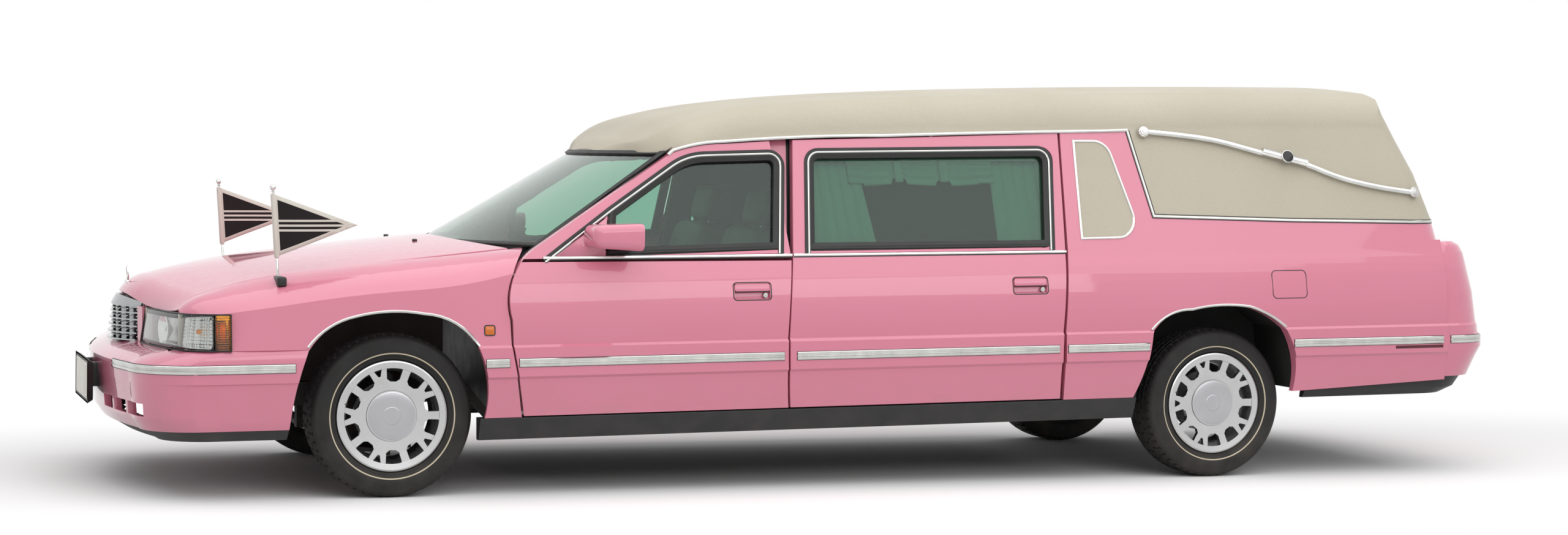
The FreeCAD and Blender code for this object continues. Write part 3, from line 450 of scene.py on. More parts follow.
pink = enamel("pink enamel under lacquer", "#DB8299", "#D87B93")
# The third colour of a grained finish is the painted shade in its creases.
vinyl = pebbled("cream grained vinyl", "#C9C2B0", "#C0B8A5", "#8A8371", 330.0, 0.45, 0.3)
chrome = brightMetal("bright chrome plate", "#E6E6E4", 0.05, 0.12)
stainless = brightMetal("polished stainless trim", "#DADAD6", 0.1, 0.18)
satinMetal = brightMetal("satin reflector metal", "#CFCFCC", 0.18, 0.3)
alloy = brightMetal("machined lacquered alloy", "#C9C9CC", 0.24, 0.34, 0.03)
# A darker copy of the bright chrome for the grille: painted shade, not a tinted plating.
chromeDarkenedAsShade = brightMetal("bright chrome in shade", "#9DA1A8", 0.08, 0.16)
rubber = moulded("black rubber seal", "#131313", "#1C1C1B", 0.5, 700.0, 0.1)
tyreRubber = moulded("worn tyre rubber", "#0F0E0D", "#181615", 0.7, 420.0, 0.2, 0.12)
whitewall = moulded("cream whitewall rubber", "#D9CDB4", "#C9BCA2", 0.6, 300.0, 0.1)
charcoal = moulded("charcoal moulded plastic", "#1D1E20", "#262627", 0.5, 600.0, 0.2, 0.15)
blackPlastic = moulded("black moulded plastic", "#0F0F10", "#191919", 0.42, 600.0, 0.15)
insert = moulded("off-white moulding insert", "#E6E2D6", "#D8D3C6", 0.35, 300.0, 0.05)
underseal = moulded("black underbody sealant", "#151515", "#1F1D1B", 0.8, 160.0, 0.4, 0.2)
steel = moulded("black chassis paint", "#161616", "#2A2724", 0.55, 120.0, 0.3, 0.5)
iron = moulded("cast iron", "#4A4743", "#39352F", 0.6, 160.0, 0.5)
board = moulded("satin floor paint", "#5E5E5F", "#505051", 0.5, 200.0, 0.1)
# The third colour is the painted shade in the leather's creases.
leather = pebbled("dark grey seat leather", "#26282A", "#303233", "#151617", 260.0, 0.45, 0.25)
sideGlass = seeThrough("lightly tinted side glass", "#A3CBB9", "#AACFBF", shine=0.35)
screenGlass = seeThrough("laminated screen glass", "#B4D6C5", "#BBD9CA", shine=0.45)
clearLens = seeThrough("clear moulded lens", "#F2F4F4", "#E9EBEA", 0.02, 1.49)
amberLens = seeThrough("amber moulded lens", "#F5A020", "#EE941A", 0.1, 1.49)
tailRed = moulded("red ribbed lens", "#B0101B", "#A00D17", 0.12, 400.0, 0.05)
tailPale = moulded("pale reversing lens", "#D9D6D2", "#CDC9C4", 0.14, 400.0, 0.05)
amberMarker = moulded("amber marker lens", "#D8741A", "#C96510", 0.16, 400.0, 0.05)
redSlot = moulded("deep red reflector", "#5B1220", "#4A0E1A", 0.2, 400.0, 0.05)
badgeBlack = moulded("black badge enamel", "#101012", "#17171A", 0.14, 300.0, 0.03)
curtainCloth = woven("grey-green curtain cloth", "#93A79C", "#869A8F", 0.0018)
blackCloth = woven("black pennant cloth", "#1C1718", "#241E1F", 0.0012)
paleCloth = woven("off-white pennant cloth", "#DFDAD0", "#D3CDC2", 0.0012)

capMetal = turnedMetal("turned alloy cap", "#BDBDC0", 0.28, 0.40)
print("materials made")


def assign(name, material):
    mesh = nodes[name].data
    mesh.materials.clear()
    mesh.materials.append(material)


sides = ("left", "right")
doors = [end + "_door_" + side for end in ("front", "rear") for side in sides]
panes = ["loading_pane"] + [end + "_pane_" + side for end in ("front", "rear") for side in sides]
level = place(1, 0, 0) - place(0, 0, 0), place(0, 0, 1) - place(0, 0, 0)    # the drawing's ahead and up


# Where the CAD's forms are opened up: the bumper's joins, the plain mirrors and the tail lamps' bands.
cuts = {
    "bumperSeams": (0.4075, 0.6025), "tail": (0.55, 0.680, 0.765, 0.850, 1.0),
    "mirror": {"side": 0.8818, "height": 1.03, "lean": 0.337, "above": 0.955, "left": 0.005},
}


# The bumper cover comes in lengths: the hidden faces where they meet are taken out.
def joined(bm):
    for y in cuts["bumperSeams"]:
        inner = [f for f in bm.faces if all(abs(abs(v.co.y) - y) < 1e-5 for v in f.verts)]
        bmesh.ops.delete(bm, geom=inner, context="FACES")


def softMirror(bm):    # cuts the plain mirror off along the door's lean, as a rounded one stands for it
    way = 1 if sum(v.co.y for v in bm.verts) > 0 else -1
    plain = cuts["mirror"]

    def proud(co):    # height above the cabin side's plane
        return co.y * way - plain["side"] + plain["lean"] * (co.z - plain["height"])

    stub = [f for f in bm.faces if all(v.co.z > plain["above"] and proud(v.co) > -0.002 for v in f.verts)]
    cut = bmesh.ops.bisect_plane(
        bm, geom=withEdges(stub), plane_co=(0, way * (plain["side"] + plain["left"]), plain["height"]),
        plane_no=(0, way, plain["lean"]), clear_outer=True)
    bmesh.ops.holes_fill(bm, edges=edgesOf(cut["geom_cut"]), sides=0)


# Handles: (forward end, rear end, foot, top) of each door's outline.
handle = {"front": (fromMiddle(0.426), fromMiddle(0.262), 0.771, 0.842),
          "rear": (fromMiddle(-0.835), fromMiddle(-0.998), 0.775, 0.846), "deep": 0.016, "edge": 0.004}


def cutFaces(bm, faces, point, normal):
    bmesh.ops.bisect_plane(bm, geom=withEdges(faces), plane_co=point, plane_no=normal, dist=1e-5)


def handleWell(bm, end):    # sinks a scooped well in the door's skin behind its handle
    ahead, behind, foot, top = handle[end]
    ahead, behind = ahead - handle["edge"], behind + handle["edge"]
    foot, top = foot + handle["edge"], top - handle["edge"]
    middle = place((ahead + behind) / 2, 0, (foot + top) / 2)
    around = Vector((ahead - behind, 0, top - foot)) * 0.5

    def near(face):
        c = face.calc_center_median()
        return abs(c.y) > 0.85 and abs(face.normal.y) > 0.6

    along, up = level
    for point, normal in ((place(ahead, 0, foot), along), (place(behind, 0, foot), along),
                          (place(ahead, 0, foot), up), (place(ahead, 0, top), up)):
        cutFaces(bm, [f for f in bm.faces if near(f)], point, normal)
    inside = []
    for face in bm.faces:
        c = face.calc_center_median() - middle
        if near(face) and abs(c.dot(along)) < around.x and abs(c.dot(up)) < around.z:
            inside.append(face)
    side = 1 if inside[0].calc_center_median().y > 0 else -1
    inside = [f for f in inside if f.normal.y * side > 0]
    bmesh.ops.inset_region(bm, faces=inside, thickness=0.005, depth=-handle["deep"], use_even_offset=True)


def frontDoor(bm):
    softMirror(bm)
    handleWell(bm, "front")


def rearDoor(bm):
    handleWell(bm, "rear")


def tailLamps(bm):    # the tail lamps alone, with their faces cut into ribbed panes
    bmesh.ops.delete(bm, geom=[v for v in bm.verts if v.co.x > 0], context="VERTS")
    spots = [place(rear(-1.4), 0, z) for z in cuts["tail"]]
    for spot in spots[1:-1]:
        bmesh.ops.bisect_plane(bm, geom=whole(bm), plane_co=spot, plane_no=level[1], dist=1e-5)
    for k, (foot, top) in enumerate(zip(spots, spots[1:])):
        for way in (-1, 1):
            pane = []
            for face in bm.faces:
                c = face.calc_center_median()
                outer = face.normal.x < -0.3 or face.normal.y * way > 0.6
                if foot.z < c.z < top.z and c.y * way > 0 and outer:
                    pane.append(face)
            for face in pane:
                face.material_index = 1 if k == 0 else 0
            bmesh.ops.inset_region(bm, faces=pane, thickness=0.004, depth=-0.002, use_even_offset=True)


def shyPillars(bm):    # draws the front pillars' tips in under the vinyl
    for vert in bm.verts:
        if vert.co.x > front(-1.42) and vert.co.z > 1.365:
            vert.co.y *= 0.965


changes = {"front_bumper": joined, "front_door_left": frontDoor, "front_door_right": frontDoor,
           "rear_door_left": rearDoor, "rear_door_right": rearDoor}
for name in ["quarters", "fenders", "hood", "front_bumper", "rear_bumper", "loading_door"] + doors:
    dressed(name, pink, 0.0025, change=changes.get(name))
dressed("roof", vinyl, 0.004)
dressed("pillars", blackPlastic, 0.002, change=shyPillars)
dressed("signal_lamps", [tailRed, tailPale], 0.002, change=tailLamps)
for finish, names in (
        (screenGlass, ["windscreen"]), (sideGlass, panes), (charcoal, ["sills"]),
        (blackPlastic, ["dashboard", "firewall"]),
        (steel, ["chassis", "tank_and_exhaust", "rear_axle"]),
        (iron, ["engine", "knuckle_left", "knuckle_right"]),
        (underseal, ["floor_pan"]), (board, ["load_deck"]),
        (alloy, ["wheel_" + end + "_" + side for end in ("front", "rear") for side in sides])):
    for name in names:
        assign(name, finish)
print("panels painted")


def shape(kind, scale, spot, finish, name, body="body", turn=None, bevel=0.0, both=True, **settings):
    bm = bmesh.new()
    getattr(bmesh.ops, "create_" + kind)(bm, **settings)
    bmesh.ops.scale(bm, vec=scale, verts=bm.verts)
    if bevel:
        softened(bm, creased(bm, 0.5), bevel, 3)
    if turn is not None:
        bmesh.ops.transform(bm, matrix=turn, verts=bm.verts)
    bmesh.ops.translate(bm, vec=spot, verts=bm.verts)
    if both:
        return pair(name, bm, finish, body)
    return piece(name, bm, finish, body)


def block(name, size, spot, finish, body="body", **settings):
    return shape("cube", size, spot, finish, name, body, size=1, **settings)


def disc(name, spot, foot, top, depth, finish, body="body", segments=24, **settings):    # foot and top radius
    return shape("cone", (1, 1, 1), spot, finish, name, body, cap_ends=True, segments=segments, radius1=foot,
                 radius2=top, depth=depth, **settings)


def facing(normal):    # a turn that takes +Z onto the normal and keeps +X level
    z = normal.normalized()
    x = Vector((0, 0, 1)).cross(z).normalized()
    y = z.cross(x)
    return Matrix((x, y, z)).transposed().to_4x4()


def millimetres(points):
    return [tuple(c / 1000 for c in p) for p in points]


def arcThrough(a, m, b, steps):    # points on the circle through three points, the first one left out
    a, m, b = Vector(a), Vector(m), Vector(b)
    d = 2 * (a.x * (m.y - b.y) + m.x * (b.y - a.y) + b.x * (a.y - m.y))
    u = (a.dot(a) * (m.y - b.y) + m.dot(m) * (b.y - a.y) + b.dot(b) * (a.y - m.y)) / d
    v = (a.dot(a) * (b.x - m.x) + m.dot(m) * (a.x - b.x) + b.dot(b) * (m.x - a.x)) / d
    middle = Vector((u, v))
    first, last = a - middle, b - middle
    way = 1 if (m - a).x * (b - m).y - (m - a).y * (b - m).x > 0 else -1
    turn = math.atan2(first.x * last.y - first.y * last.x, first.dot(last))
    if way * turn < 0:
        turn += way * 2 * math.pi
    out = []
    for k in range(1, steps + 1):
        c, s = math.cos(turn * k / steps), math.sin(turn * k / steps)
        out.append(tuple(middle + Vector((first.x * c - first.y * s, first.x * s + first.y * c))))
    return out


def sideRun(names, points, gap=0.15):    # stations on the left skin under a line of (x, z)
    return [onSide(names, x, z) for x, z in between(points, gap)]


# Two-ribbed bright strips along the rub moulding, with a dark seam line under each.
strip = {
    "middle": 0.5355, "seamPast": 0.002,
    "ribs": millimetres([(-16.5, -2), (-16.5, 3), (-14, 5.5), (-5, 6), (-3, 2.5), (-1.6, 2.5), (0, 4),
                         (1.6, 2.5), (3, 2.5), (5, 6), (14, 5.5), (16.5, 3), (16.5, -2)]),
    "seam": millimetres([(-18.5, -2), (-18.5, 0.8), (18.5, 0.8), (18.5, -2)]),
    "runs": [
        ("fenders", "body", front(-0.367), front(-0.462)),
        ("front_door", "front", front(-0.503), front(-1.630)),
        ("rear_door", "rear", front(-1.687), rear(0.795)),
        ("quarters", "body", rear(0.753), rear(0.363)),
        ("quarters", "body", rear(-0.352), rear(-1.117))],
}


def ribbedStrip(label, stations, bodies):
    bm = sweep(strip["ribs"], stations)
    softened(bm, creased(bm, 1.2), 0.0008, 2)
    pair(label, bm, stainless, bodies)
    longer = list(stations)
    for last, before in ((0, 1), (-1, -2)):
        point, normal = stations[last]
        longer[last] = (point + (point - stations[before][0]).normalized() * strip["seamPast"], normal)
    pair(label + "Seam", sweep(strip["seam"], longer), rubber, bodies)


for i, (node, owner, ahead, behind) in enumerate(strip["runs"]):
    names = [node + "_left"] if node.endswith("door") else [node]
    bodies = "body" if owner == "body" else doorBodies(owner)
    ribbedStrip("strip%d" % i, sideRun(names, [(ahead, strip["middle"]), (behind, strip["middle"])]), bodies)


def roundCorner(names, middle, start, finish, z, steps):    # stations round a middle, by angle from +Y
    out = []
    for k in range(steps + 1):
        angle = math.radians(start + (finish - start) * k / steps)
        start3 = place(middle[0] + 1.3 * math.sin(angle), middle[1] + 1.3 * math.cos(angle), z)
        out.append(hitFrom(names, start3, place(middle[0], middle[1], z)))
    return out


tail = roundCorner(["rear_bumper"], (rear(-1.205), 0.763), 13, -41, strip["middle"], 14)
ribbedStrip("stripTail", tail, "body")
nose = roundCorner(["front_bumper"], (front(0.60), 0.40), -20, 84, strip["middle"], 40)
ribbedStrip("stripNose", nose[::-1], "body")
print("strips made")

# The cabin side is a flat plane leaning in; two points on the sail give it.
sailLow = onSide(["quarters"], rear(0.66), 1.03)[0]
sailHigh = onSide(["quarters"], rear(0.66), 1.40)[0]


def onPlane(x, z):    # the point of the cabin side's plane at a station and height, and its outward normal
    t = (z - 1.03) / (1.40 - 1.03)
    point = place(x, sailLow.y + (sailHigh.y - sailLow.y) * t, z)
    slope = sailHigh - sailLow
    return point, Vector((0, slope.z, -slope.y)).normalized()


def planeLoop(corners, gap=0.2, steps=6):
    points = rounded(corners, steps)
    return [onPlane(x, z) for x, z in between(points + points[:1], gap)[:-1]]


# Side windows: black rubber over the opening's edge, with a thin bright bead that is open along the belt.
window = {
    "channel": millimetres([(10, -3), (10, 2.5), (17, 2.5), (22, 4), (40, -4), (41, -22), (2, -22), (2, -3)]),
    "surround": millimetres([(-5, -3), (-5, 2.5), (5, 4.5), (10, 2.5), (20, 2.5), (20, -3)]),
    "bead": millimetres([(9.5, 1), (9.8, 4), (13.5, 5.9), (17.2, 4), (17.5, 1)]),
    "rear": [(front(-1.750), 0.966, 0.0), (rear(0.793), 0.966, 0.0), (rear(0.741), 1.404, 0.062),
             (front(-1.795), 1.392, 0.062)],
    "front": [(front(-0.878), 0.955, 0.0), (front(-1.645), 0.970, 0.0), (front(-1.698), 1.388, 0.060),
              (front(-1.262), 1.376, 0.30), (front(-0.905), 1.146, 0.0)],
    "frontRun": [(front(-0.617), 0.946, 0.0), (front(-0.910), 1.149, 0.0), (front(-1.262), 1.376, 0.30),
                 (front(-1.698), 1.388, 0.060), (front(-1.645), 0.958, 0.0)],
    "rearRun": [(front(-1.749), 0.958, 0.0), (front(-1.795), 1.392, 0.062), (rear(0.741), 1.404, 0.062),
                (rear(0.793), 0.958, 0.0)],
}
for end in ("front", "rear"):
    channel = sweep(window["channel"], planeLoop(window[end]), True)
    pair(end + "WindowChannel", channel, rubber, doorBodies(end))
    run = [onPlane(x, z) for x, z in between(rounded(window[end + "Run"], 8), 0.2)]
    for label, finish in (("surround", rubber), ("bead", stainless)):
        flipped = [(-a, o) for a, o in window[label]]
        pair(end + "Window" + label.title(), sweep(flipped, run), finish, doorBodies(end))


# Bright moulding and its black line along the foot of the side windows.
belt = {
    "bright": millimetres([(-1, -3), (-1, 3), (2, 7), (8, 8), (11, 5), (12, -3)]),
    "line": millimetres([(-6, -3), (-6, 1.5), (0, 2.5), (0, -3)]),
    "runs": [("front", [(front(-0.617), 0.9475), (front(-1.685), 0.9475)]),
             ("rear", [(front(-1.692), 0.9475), (rear(0.738), 0.9475)])],
}
for end, run in belt["runs"]:
    stations = [onPlane(x, z) for x, z in between(run, 0.3)]
    for label, finish in (("bright", stainless), ("line", rubber)):
        pair(end + "Belt" + label.title(), sweep(belt[label], stations), finish, doorBodies(end))


# Drip rail along the vinyl's lower edge, then down and back round the quarter.
railFront = [(front(-1.186), 1.368), (front(-1.210), 1.386)]
railFront += arcThrough(railFront[-1], (front(-1.277), 1.404), (front(-1.440), 1.423), 6)
railFront += arcThrough(railFront[-1], (front(-1.776), 1.442), (rear(1.522), 1.449), 6)
railFront += arcThrough(railFront[-1], (rear(1.031), 1.462), (rear(0.486), 1.472), 8)
railFront += [(rear(0.362), 1.476)]
railDown = [(rear(0.362), 1.476), (rear(0.290), 1.101), (rear(-0.404), 1.078), (rear(-0.980), 1.067)]
rail = {
    "top": millimetres([(-7, -4), (-8, 6), (-3, 10), (4, 8), (6, 2), (6, -4)]),
    "line": millimetres([(-10, -3), (-10, 2.5), (10, 2.5), (10, -3)]),
    "edge": millimetres([(-6, -3), (-6, 3), (-3, 5.5), (3, 5.5), (6, 3), (6, -3)]),
}
skinNames = ["roof", "quarters"]
topRun = [onPlane(x, z + 0.002) for x, z in between(railFront, 0.2)]
pair("dripRail", sweep(rail["top"], topRun), stainless, "body")
edgeRun = [onSide(skinNames, x, z) for x, z in between(railDown, 0.16)]
edgeRun += roundCorner(skinNames, (rear(-0.98), 0.700), -4, -76, 1.066, 12)
pair("vinylEdgeLine", sweep(rail["line"], edgeRun), rubber, "body")
pair("vinylEdgeBead", sweep(rail["edge"], edgeRun), stainless, "body")


# Padded vinyl panel on the sail, inside a bright frame.
sail = [(rear(0.652), 1.008, 0.0), (rear(0.365), 1.012, 0.085), (rear(0.474), 1.430, 0.08),
        (rear(0.630), 1.430, 0.0)]
sailForm = millimetres([(-6, -3), (-6, 3), (-3, 6), (3, 6), (6, 3), (6, -3)])
sailSteps = ((0.004, 0.004), (0.012, 0.003))
outline = rounded(sail, 8)
loop = [onSide(["quarters"], x, z) for x, z in between(outline + outline[:1], 0.2)[:-1]]
pair("sailFrame", sweep(sailForm, loop, True), stainless, "body")
bm = bmesh.new()
ring = [bm.verts.new(point - normal * 0.002) for point, normal in loop]
face = bm.faces.new(ring)
face.normal_update()
if face.normal.y < 0:
    face.normal_flip()
for wide, rise in sailSteps:
    bmesh.ops.inset_region(bm, faces=[face], thickness=wide, depth=rise, use_even_offset=True)
bmesh.ops.triangulate(bm, faces=[f for f in bm.faces if len(f.verts) > 4])
pair("sailPad", bm, vinyl, "body", 40)


# Bright lips round the wheel arches.
arches = {
    "front": (["fenders", "front_bumper"], car["frontAxle"],
              [(340, 612), (262, 684), (150, 729), (20, 746), (-121, 734), (-236, 700), (-337, 602)]),
    "rear": (["quarters"], car["rearAxle"],
             [(345, 606), (260, 670), (153, 690), (-5, 707), (-130, 698), (-235, 655), (-310, 606)]),
    "lip": millimetres([(-5, -8), (-5.5, 2), (-3, 5), (2, 5.5), (5, 3), (5, -2)]),
    "middle": 0.33, "grow": 1.012,
}
for end in ("front", "rear"):
    names, axle, points = arches[end]
    points = [(axle + x / 1000, z / 1000) for x, z in points]
    line = points[:1]
    for k in (0, 2, 4):
        line += arcThrough(points[k], points[k + 1], points[k + 2], 8)
    middle = Vector((axle, arches["middle"]))
    grown = [tuple(middle + (Vector(p) - middle) * arches["grow"]) for p in line]
    stations = [onSide(names, x, z) for x, z in grown]
    pair(end + "ArchLip", sweep(arches["lip"], stations), stainless, "body")
print("trim made")

# Tyres: ribbed tread with cut sipes, a plain sidewall and a thin cream ring. Radius and half width in mm.
tyre = {
    "side": [(209, 84), (212, 88), (224, 90.5), (229, 98.5), (233, 100.5), (236, 100), (240, 104),
             (246, 107.2), (258, 110.6), (268, 111.6), (280, 110.6), (292, 107.4), (302, 104.4),
             (305, 103.6), (308, 102.6), (314, 98.4), (320, 91), (324.5, 82), (326.6, 74)],
    "tread": [(327.2, 60), (320.5, 58.5), (320.5, 52), (327.6, 50.5), (327.8, 26), (320.5, 24.5), (320.5, 17),
              (327.9, 15.5)],
    "liner": [(222, 74), (258, 96), (296, 90), (312, 60)],
    "steps": 168, "ring": (248.5, 254.0), "sipe": 0.0045,
    "capLine": [(99.5, -3), (99.5, 0.8), (102.5, 0.8), (102.5, -3)],
    "hubCap": [(0, -2), (0, 3), (34, 2.8), (36, 1.6), (60, 1.5), (92, 1.2), (97, -0.5), (97, -2)],
    "valve": Matrix.Translation((0.185, 0.088, 0.045)) @ Matrix.Rotation(math.radians(-70), 4, "X"),
}
wheelNames = [end + "_" + side for end in ("front", "rear") for side in sides]


def wheelMiddle(name):
    low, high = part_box("tyre_" + name)
    return (low + high) / 2


def revolved(points, axis, steps, closed=False):    # turns a line or loop of points all the way round an axis
    bm = bmesh.new()
    verts = [bm.verts.new(point) for point in points]
    runs = zip(verts[-1:] + verts, verts) if closed else zip(verts, verts[1:])
    edges = [bm.edges.new(run) for run in runs]
    bmesh.ops.spin(bm, geom=verts + edges, cent=(0, 0, 0), axis=axis, angle=2 * math.pi, steps=steps,
                   use_merge=True)
    bmesh.ops.remove_doubles(bm, verts=bm.verts, dist=1e-6)
    bmesh.ops.recalc_face_normals(bm, faces=bm.faces)
    return bm


def spun(loop, steps):    # a (radius, across) section in millimetres, turned about the axle
    return revolved([(0, y / 1000, r / 1000) for r, y in loop], (0, 1, 0), steps, True)


def putWheel(bm, name):    # sets a left wheel's piece, drawn at the origin, at its own axle
    if name.endswith("right"):
        bmesh.ops.scale(bm, vec=(1, -1, 1), verts=bm.verts)
        bmesh.ops.recalc_face_normals(bm, faces=bm.faces)
    bmesh.ops.translate(bm, vec=wheelMiddle(name), verts=bm.verts)


half = tyre["side"] + tyre["tread"]
section = half + [(r, -y) for r, y in half[::-1]] + [(r, -y) for r, y in tyre["liner"]] + tyre["liner"][::-1]
inner, outer = tyre["ring"]
ringLoop = [(inner, 106.5), (inner + 0.4, 108.7), (251.5, 109.8), (outer - 0.4, 110.2), (outer, 107.5)]


def discFace(name, height):    # how far out the wheel's face stands at a height over its axle, in millimetres
    hub, way = wheelMiddle(name), -0.5 if name.endswith("left") else 0.5
    aim = hub + Vector((0, 0, height))
    return abs(hitFrom(["wheel_" + name], aim - Vector((0, way, 0)), aim)[0].y - hub.y) * 1000


def wheelPart(label, name, loop, finish, sharp):    # a turned part of a wheel
    bm = spun(loop, 96)
    putWheel(bm, name)
    piece(label + "." + name, bm, finish, nodes["tyre_" + name]["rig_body"], sharp)


for name in wheelNames:
    bm = spun(section, tyre["steps"])
    cut = []
    for face in bm.faces:
        middle = face.calc_center_median()
        reach, turn = math.hypot(middle.x, middle.z), math.atan2(middle.z, middle.x)
        count = int(turn / (2 * math.pi) * tyre["steps"] + tyre["steps"])
        across = abs(middle.y)
        shoulder = 0.060 < across < 0.092 and reach > 0.318
        rib = reach > 0.325 and (0.028 < across < 0.050 or across < 0.015)
        if (shoulder and count % 3 == 0) or (rib and (count + (2 if middle.y > 0 else 0)) % 4 == 0):
            cut.append(face)
    bmesh.ops.inset_individual(bm, faces=cut, thickness=0.0012, depth=-tyre["sipe"], use_even_offset=True)
    putWheel(bm, name)
    turning = nodes["tyre_" + name]["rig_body"]
    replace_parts(piece("tyre." + name, bm, tyreRubber, turning, 40), "tyre_" + name)
    wheelPart("whitewall", name, ringLoop, whitewall, 60)
    dressed("wheel_" + name, alloy, 0.0018, 25)
    rim, cap = discFace(name, 0.104), discFace(name, 0.06)
    wheelPart("capLine", name, [(r, rim + out) for r, out in tyre["capLine"]], rubber, 50)
    wheelPart("hubCap", name, [(r, cap + out) for r, out in tyre["hubCap"]], capMetal, 30)
    bm = bmesh.new()
    bmesh.ops.create_cone(bm, cap_ends=True, segments=14, radius1=0.0045, radius2=0.0035, depth=0.030)
    bmesh.ops.transform(bm, matrix=tyre["valve"], verts=bm.verts)
    putWheel(bm, name)
    piece("valve." + name, bm, blackPlastic, turning, 50)
print("wheels made")

# Headlamps: a clear cover over a bright housing with a round bowl inboard and a faceted one outboard.
lampLow, lampHigh = 0.6075, 0.750
lamp = {
    "low": [(0.916, 0.335), (0.882, 0.600), (0.840, 0.800), (0.800, 0.872), (0.700, 0.940)],
    "high": [(0.893, 0.335), (0.862, 0.600), (0.822, 0.800), (0.785, 0.868), (0.700, 0.932)],
    "depth": 0.055, "cover": 0.003,
}


def lampEdge(rows, steps=10):    # a plan edge of two arcs, from the inboard end to the outboard one
    return [rows[0]] + arcThrough(*rows[:3], steps) + arcThrough(*rows[2:], steps)


lampEdges = lampEdge(lamp["low"]), lampEdge(lamp["high"])


def lampSkin(inset, trim=0.0):    # the lamp's front face, set back by inset
    count = len(lampEdges[0]) - 1

    def at(u, t):
        (x0, y0), (x1, y1) = (edge[round(u * count)] for edge in lampEdges)
        z = lampLow + trim + (lampHigh - lampLow - 2 * trim) * t
        return place(front(x0 + (x1 - x0) * t) - inset, y0 + (y1 - y0) * t - inset * 0.5, z)

    bm = formed(count, 6, at)
    outwardFaces(bm, (1, 1, 0))
    return bm


covers = pair("headlampCover", lampSkin(0.0), clearLens, "body", 40)
for obj in covers:
    thickened(obj, lamp["cover"])
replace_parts(covers[0], "headlamps")
housings = pair("headlampHousing", lampSkin(lamp["depth"], trim=0.001), satinMetal, "body", 40)
for obj in housings:
    thickened(obj, 0.004)
print("headlamp covers made")

def lampPoint(share, height, inset):    # a point of the lamp's front by share of its width and of its height
    spot = share * (len(lampEdges[0]) - 1)
    i = min(int(spot), len(lampEdges[0]) - 2)
    t = spot - i
    x = y = 0
    for edge, weight in zip(lampEdges, (1 - height, height)):
        x += weight * (edge[i][0] + (edge[i + 1][0] - edge[i][0]) * t)
        y += weight * (edge[i][1] + (edge[i + 1][1] - edge[i][1]) * t)
    along = Vector(lampEdges[0][i + 1]) - Vector(lampEdges[0][i])
    normal = Vector((along.y, -along.x, 0)).normalized()
    return place(front(x), y, lampLow + (lampHigh - lampLow) * height) - normal * inset, normal


bowl = {"radius": 0.058, "depth": 0.036, "at": 0.30, "rim": 0.005}
middle, normal = lampPoint(bowl["at"], 0.48, 0.012)
chain = [(bowl["radius"] + bowl["rim"], 0, -0.002)]
for k in range(9):
    share = 1 - k / 8
    chain.append((bowl["radius"] * share, 0, -bowl["depth"] * (1 - share ** 2)))
bm = revolved(chain, (0, 0, 1), 40)
bmesh.ops.transform(bm, matrix=Matrix.Translation(middle) @ facing(normal), verts=bm.verts)
for obj in pair("lampBowl", bm, chrome, "body", 60):
    thickened(obj, 0.002, 0.0)
shape("uvsphere", (1, 1, 1), middle - normal * 0.022, screenGlass, "lampBulb", u_segments=20, v_segments=12,
      radius=0.011)
disc("lampSocket", middle - normal * 0.030, 0.014, 0.012, 0.014, satinMetal, turn=facing(normal))

# The outboard reflector is a field of small pillow facets.
facets = {"from": 0.56, "to": 0.985, "across": 12, "up": 9, "swell": 0.0045, "fine": 4}


def pillows(u, v):
    curve = 0.030 - 0.022 * (abs(u - 0.45) / 0.55) ** 2
    share = facets["from"] + (facets["to"] - facets["from"]) * u
    point, normal = lampPoint(share, 0.06 + 0.88 * v, curve + 0.006)
    lift = math.sin(math.pi * ((u * facets["across"]) % 1)) * math.sin(math.pi * ((v * facets["up"]) % 1))
    return point + normal * facets["swell"] * lift


bm = formed(facets["across"] * facets["fine"], facets["up"] * facets["fine"], pillows)
for obj in pair("lampFacets", bm, chrome, "body", 50):
    thickened(obj, 0.002, 0.0)
point, normal = lampPoint(0.80, 0.52, 0.020)
shape("uvsphere", (1, 1, 1), point, amberLens, "lampMarkerBulb", u_segments=20, v_segments=12, radius=0.010)

# A pale upright parts the two chambers, and short ribs stand under the bowl.
walls = [("lampDivider", (0.525, 0.5, 0.020), (0.006, 0.030, 0.138), 0.001),
         ("lampInnerWall", (0.03, 0.5, 0.020), (0.004, 0.030, 0.138), 0.001)]
walls += [("lampRib%d" % k, (0.07 + 0.06 * k, 0.09, 0.014), (0.003, 0.014, 0.018), 0.0006) for k in range(7)]
for name, spot, size, edge in walls:
    point, normal = lampPoint(*spot)
    turn = Matrix.Rotation(-math.atan2(normal.x, normal.y), 4, "Z")
    block(name, size, point, insert, turn=turn, bevel=edge)


# The amber corner: a ribbed cover that runs on from the headlamp in a dark gasket.
amber = {"low": [(0.700, 0.944), (0.640, 0.955)], "high": [(0.700, 0.936), (0.640, 0.950)], "ribs": 16,
         "deep": 0.0011, "out": Vector((0.15, 1, 0)).normalized()}


def ribbedCorner(u, t):
    (x0, y0), (x1, y1) = amber["low"]
    (x2, y2), (x3, y3) = amber["high"]
    x = (x0 + (x1 - x0) * u) * (1 - t) + (x2 + (x3 - x2) * u) * t
    y = (y0 + (y1 - y0) * u) * (1 - t) + (y2 + (y3 - y2) * u) * t
    wave = amber["deep"] * (1 - math.cos(2 * math.pi * t * amber["ribs"]))
    return place(front(x), y - 0.0025 + wave, lampLow + (lampHigh - lampLow) * t)


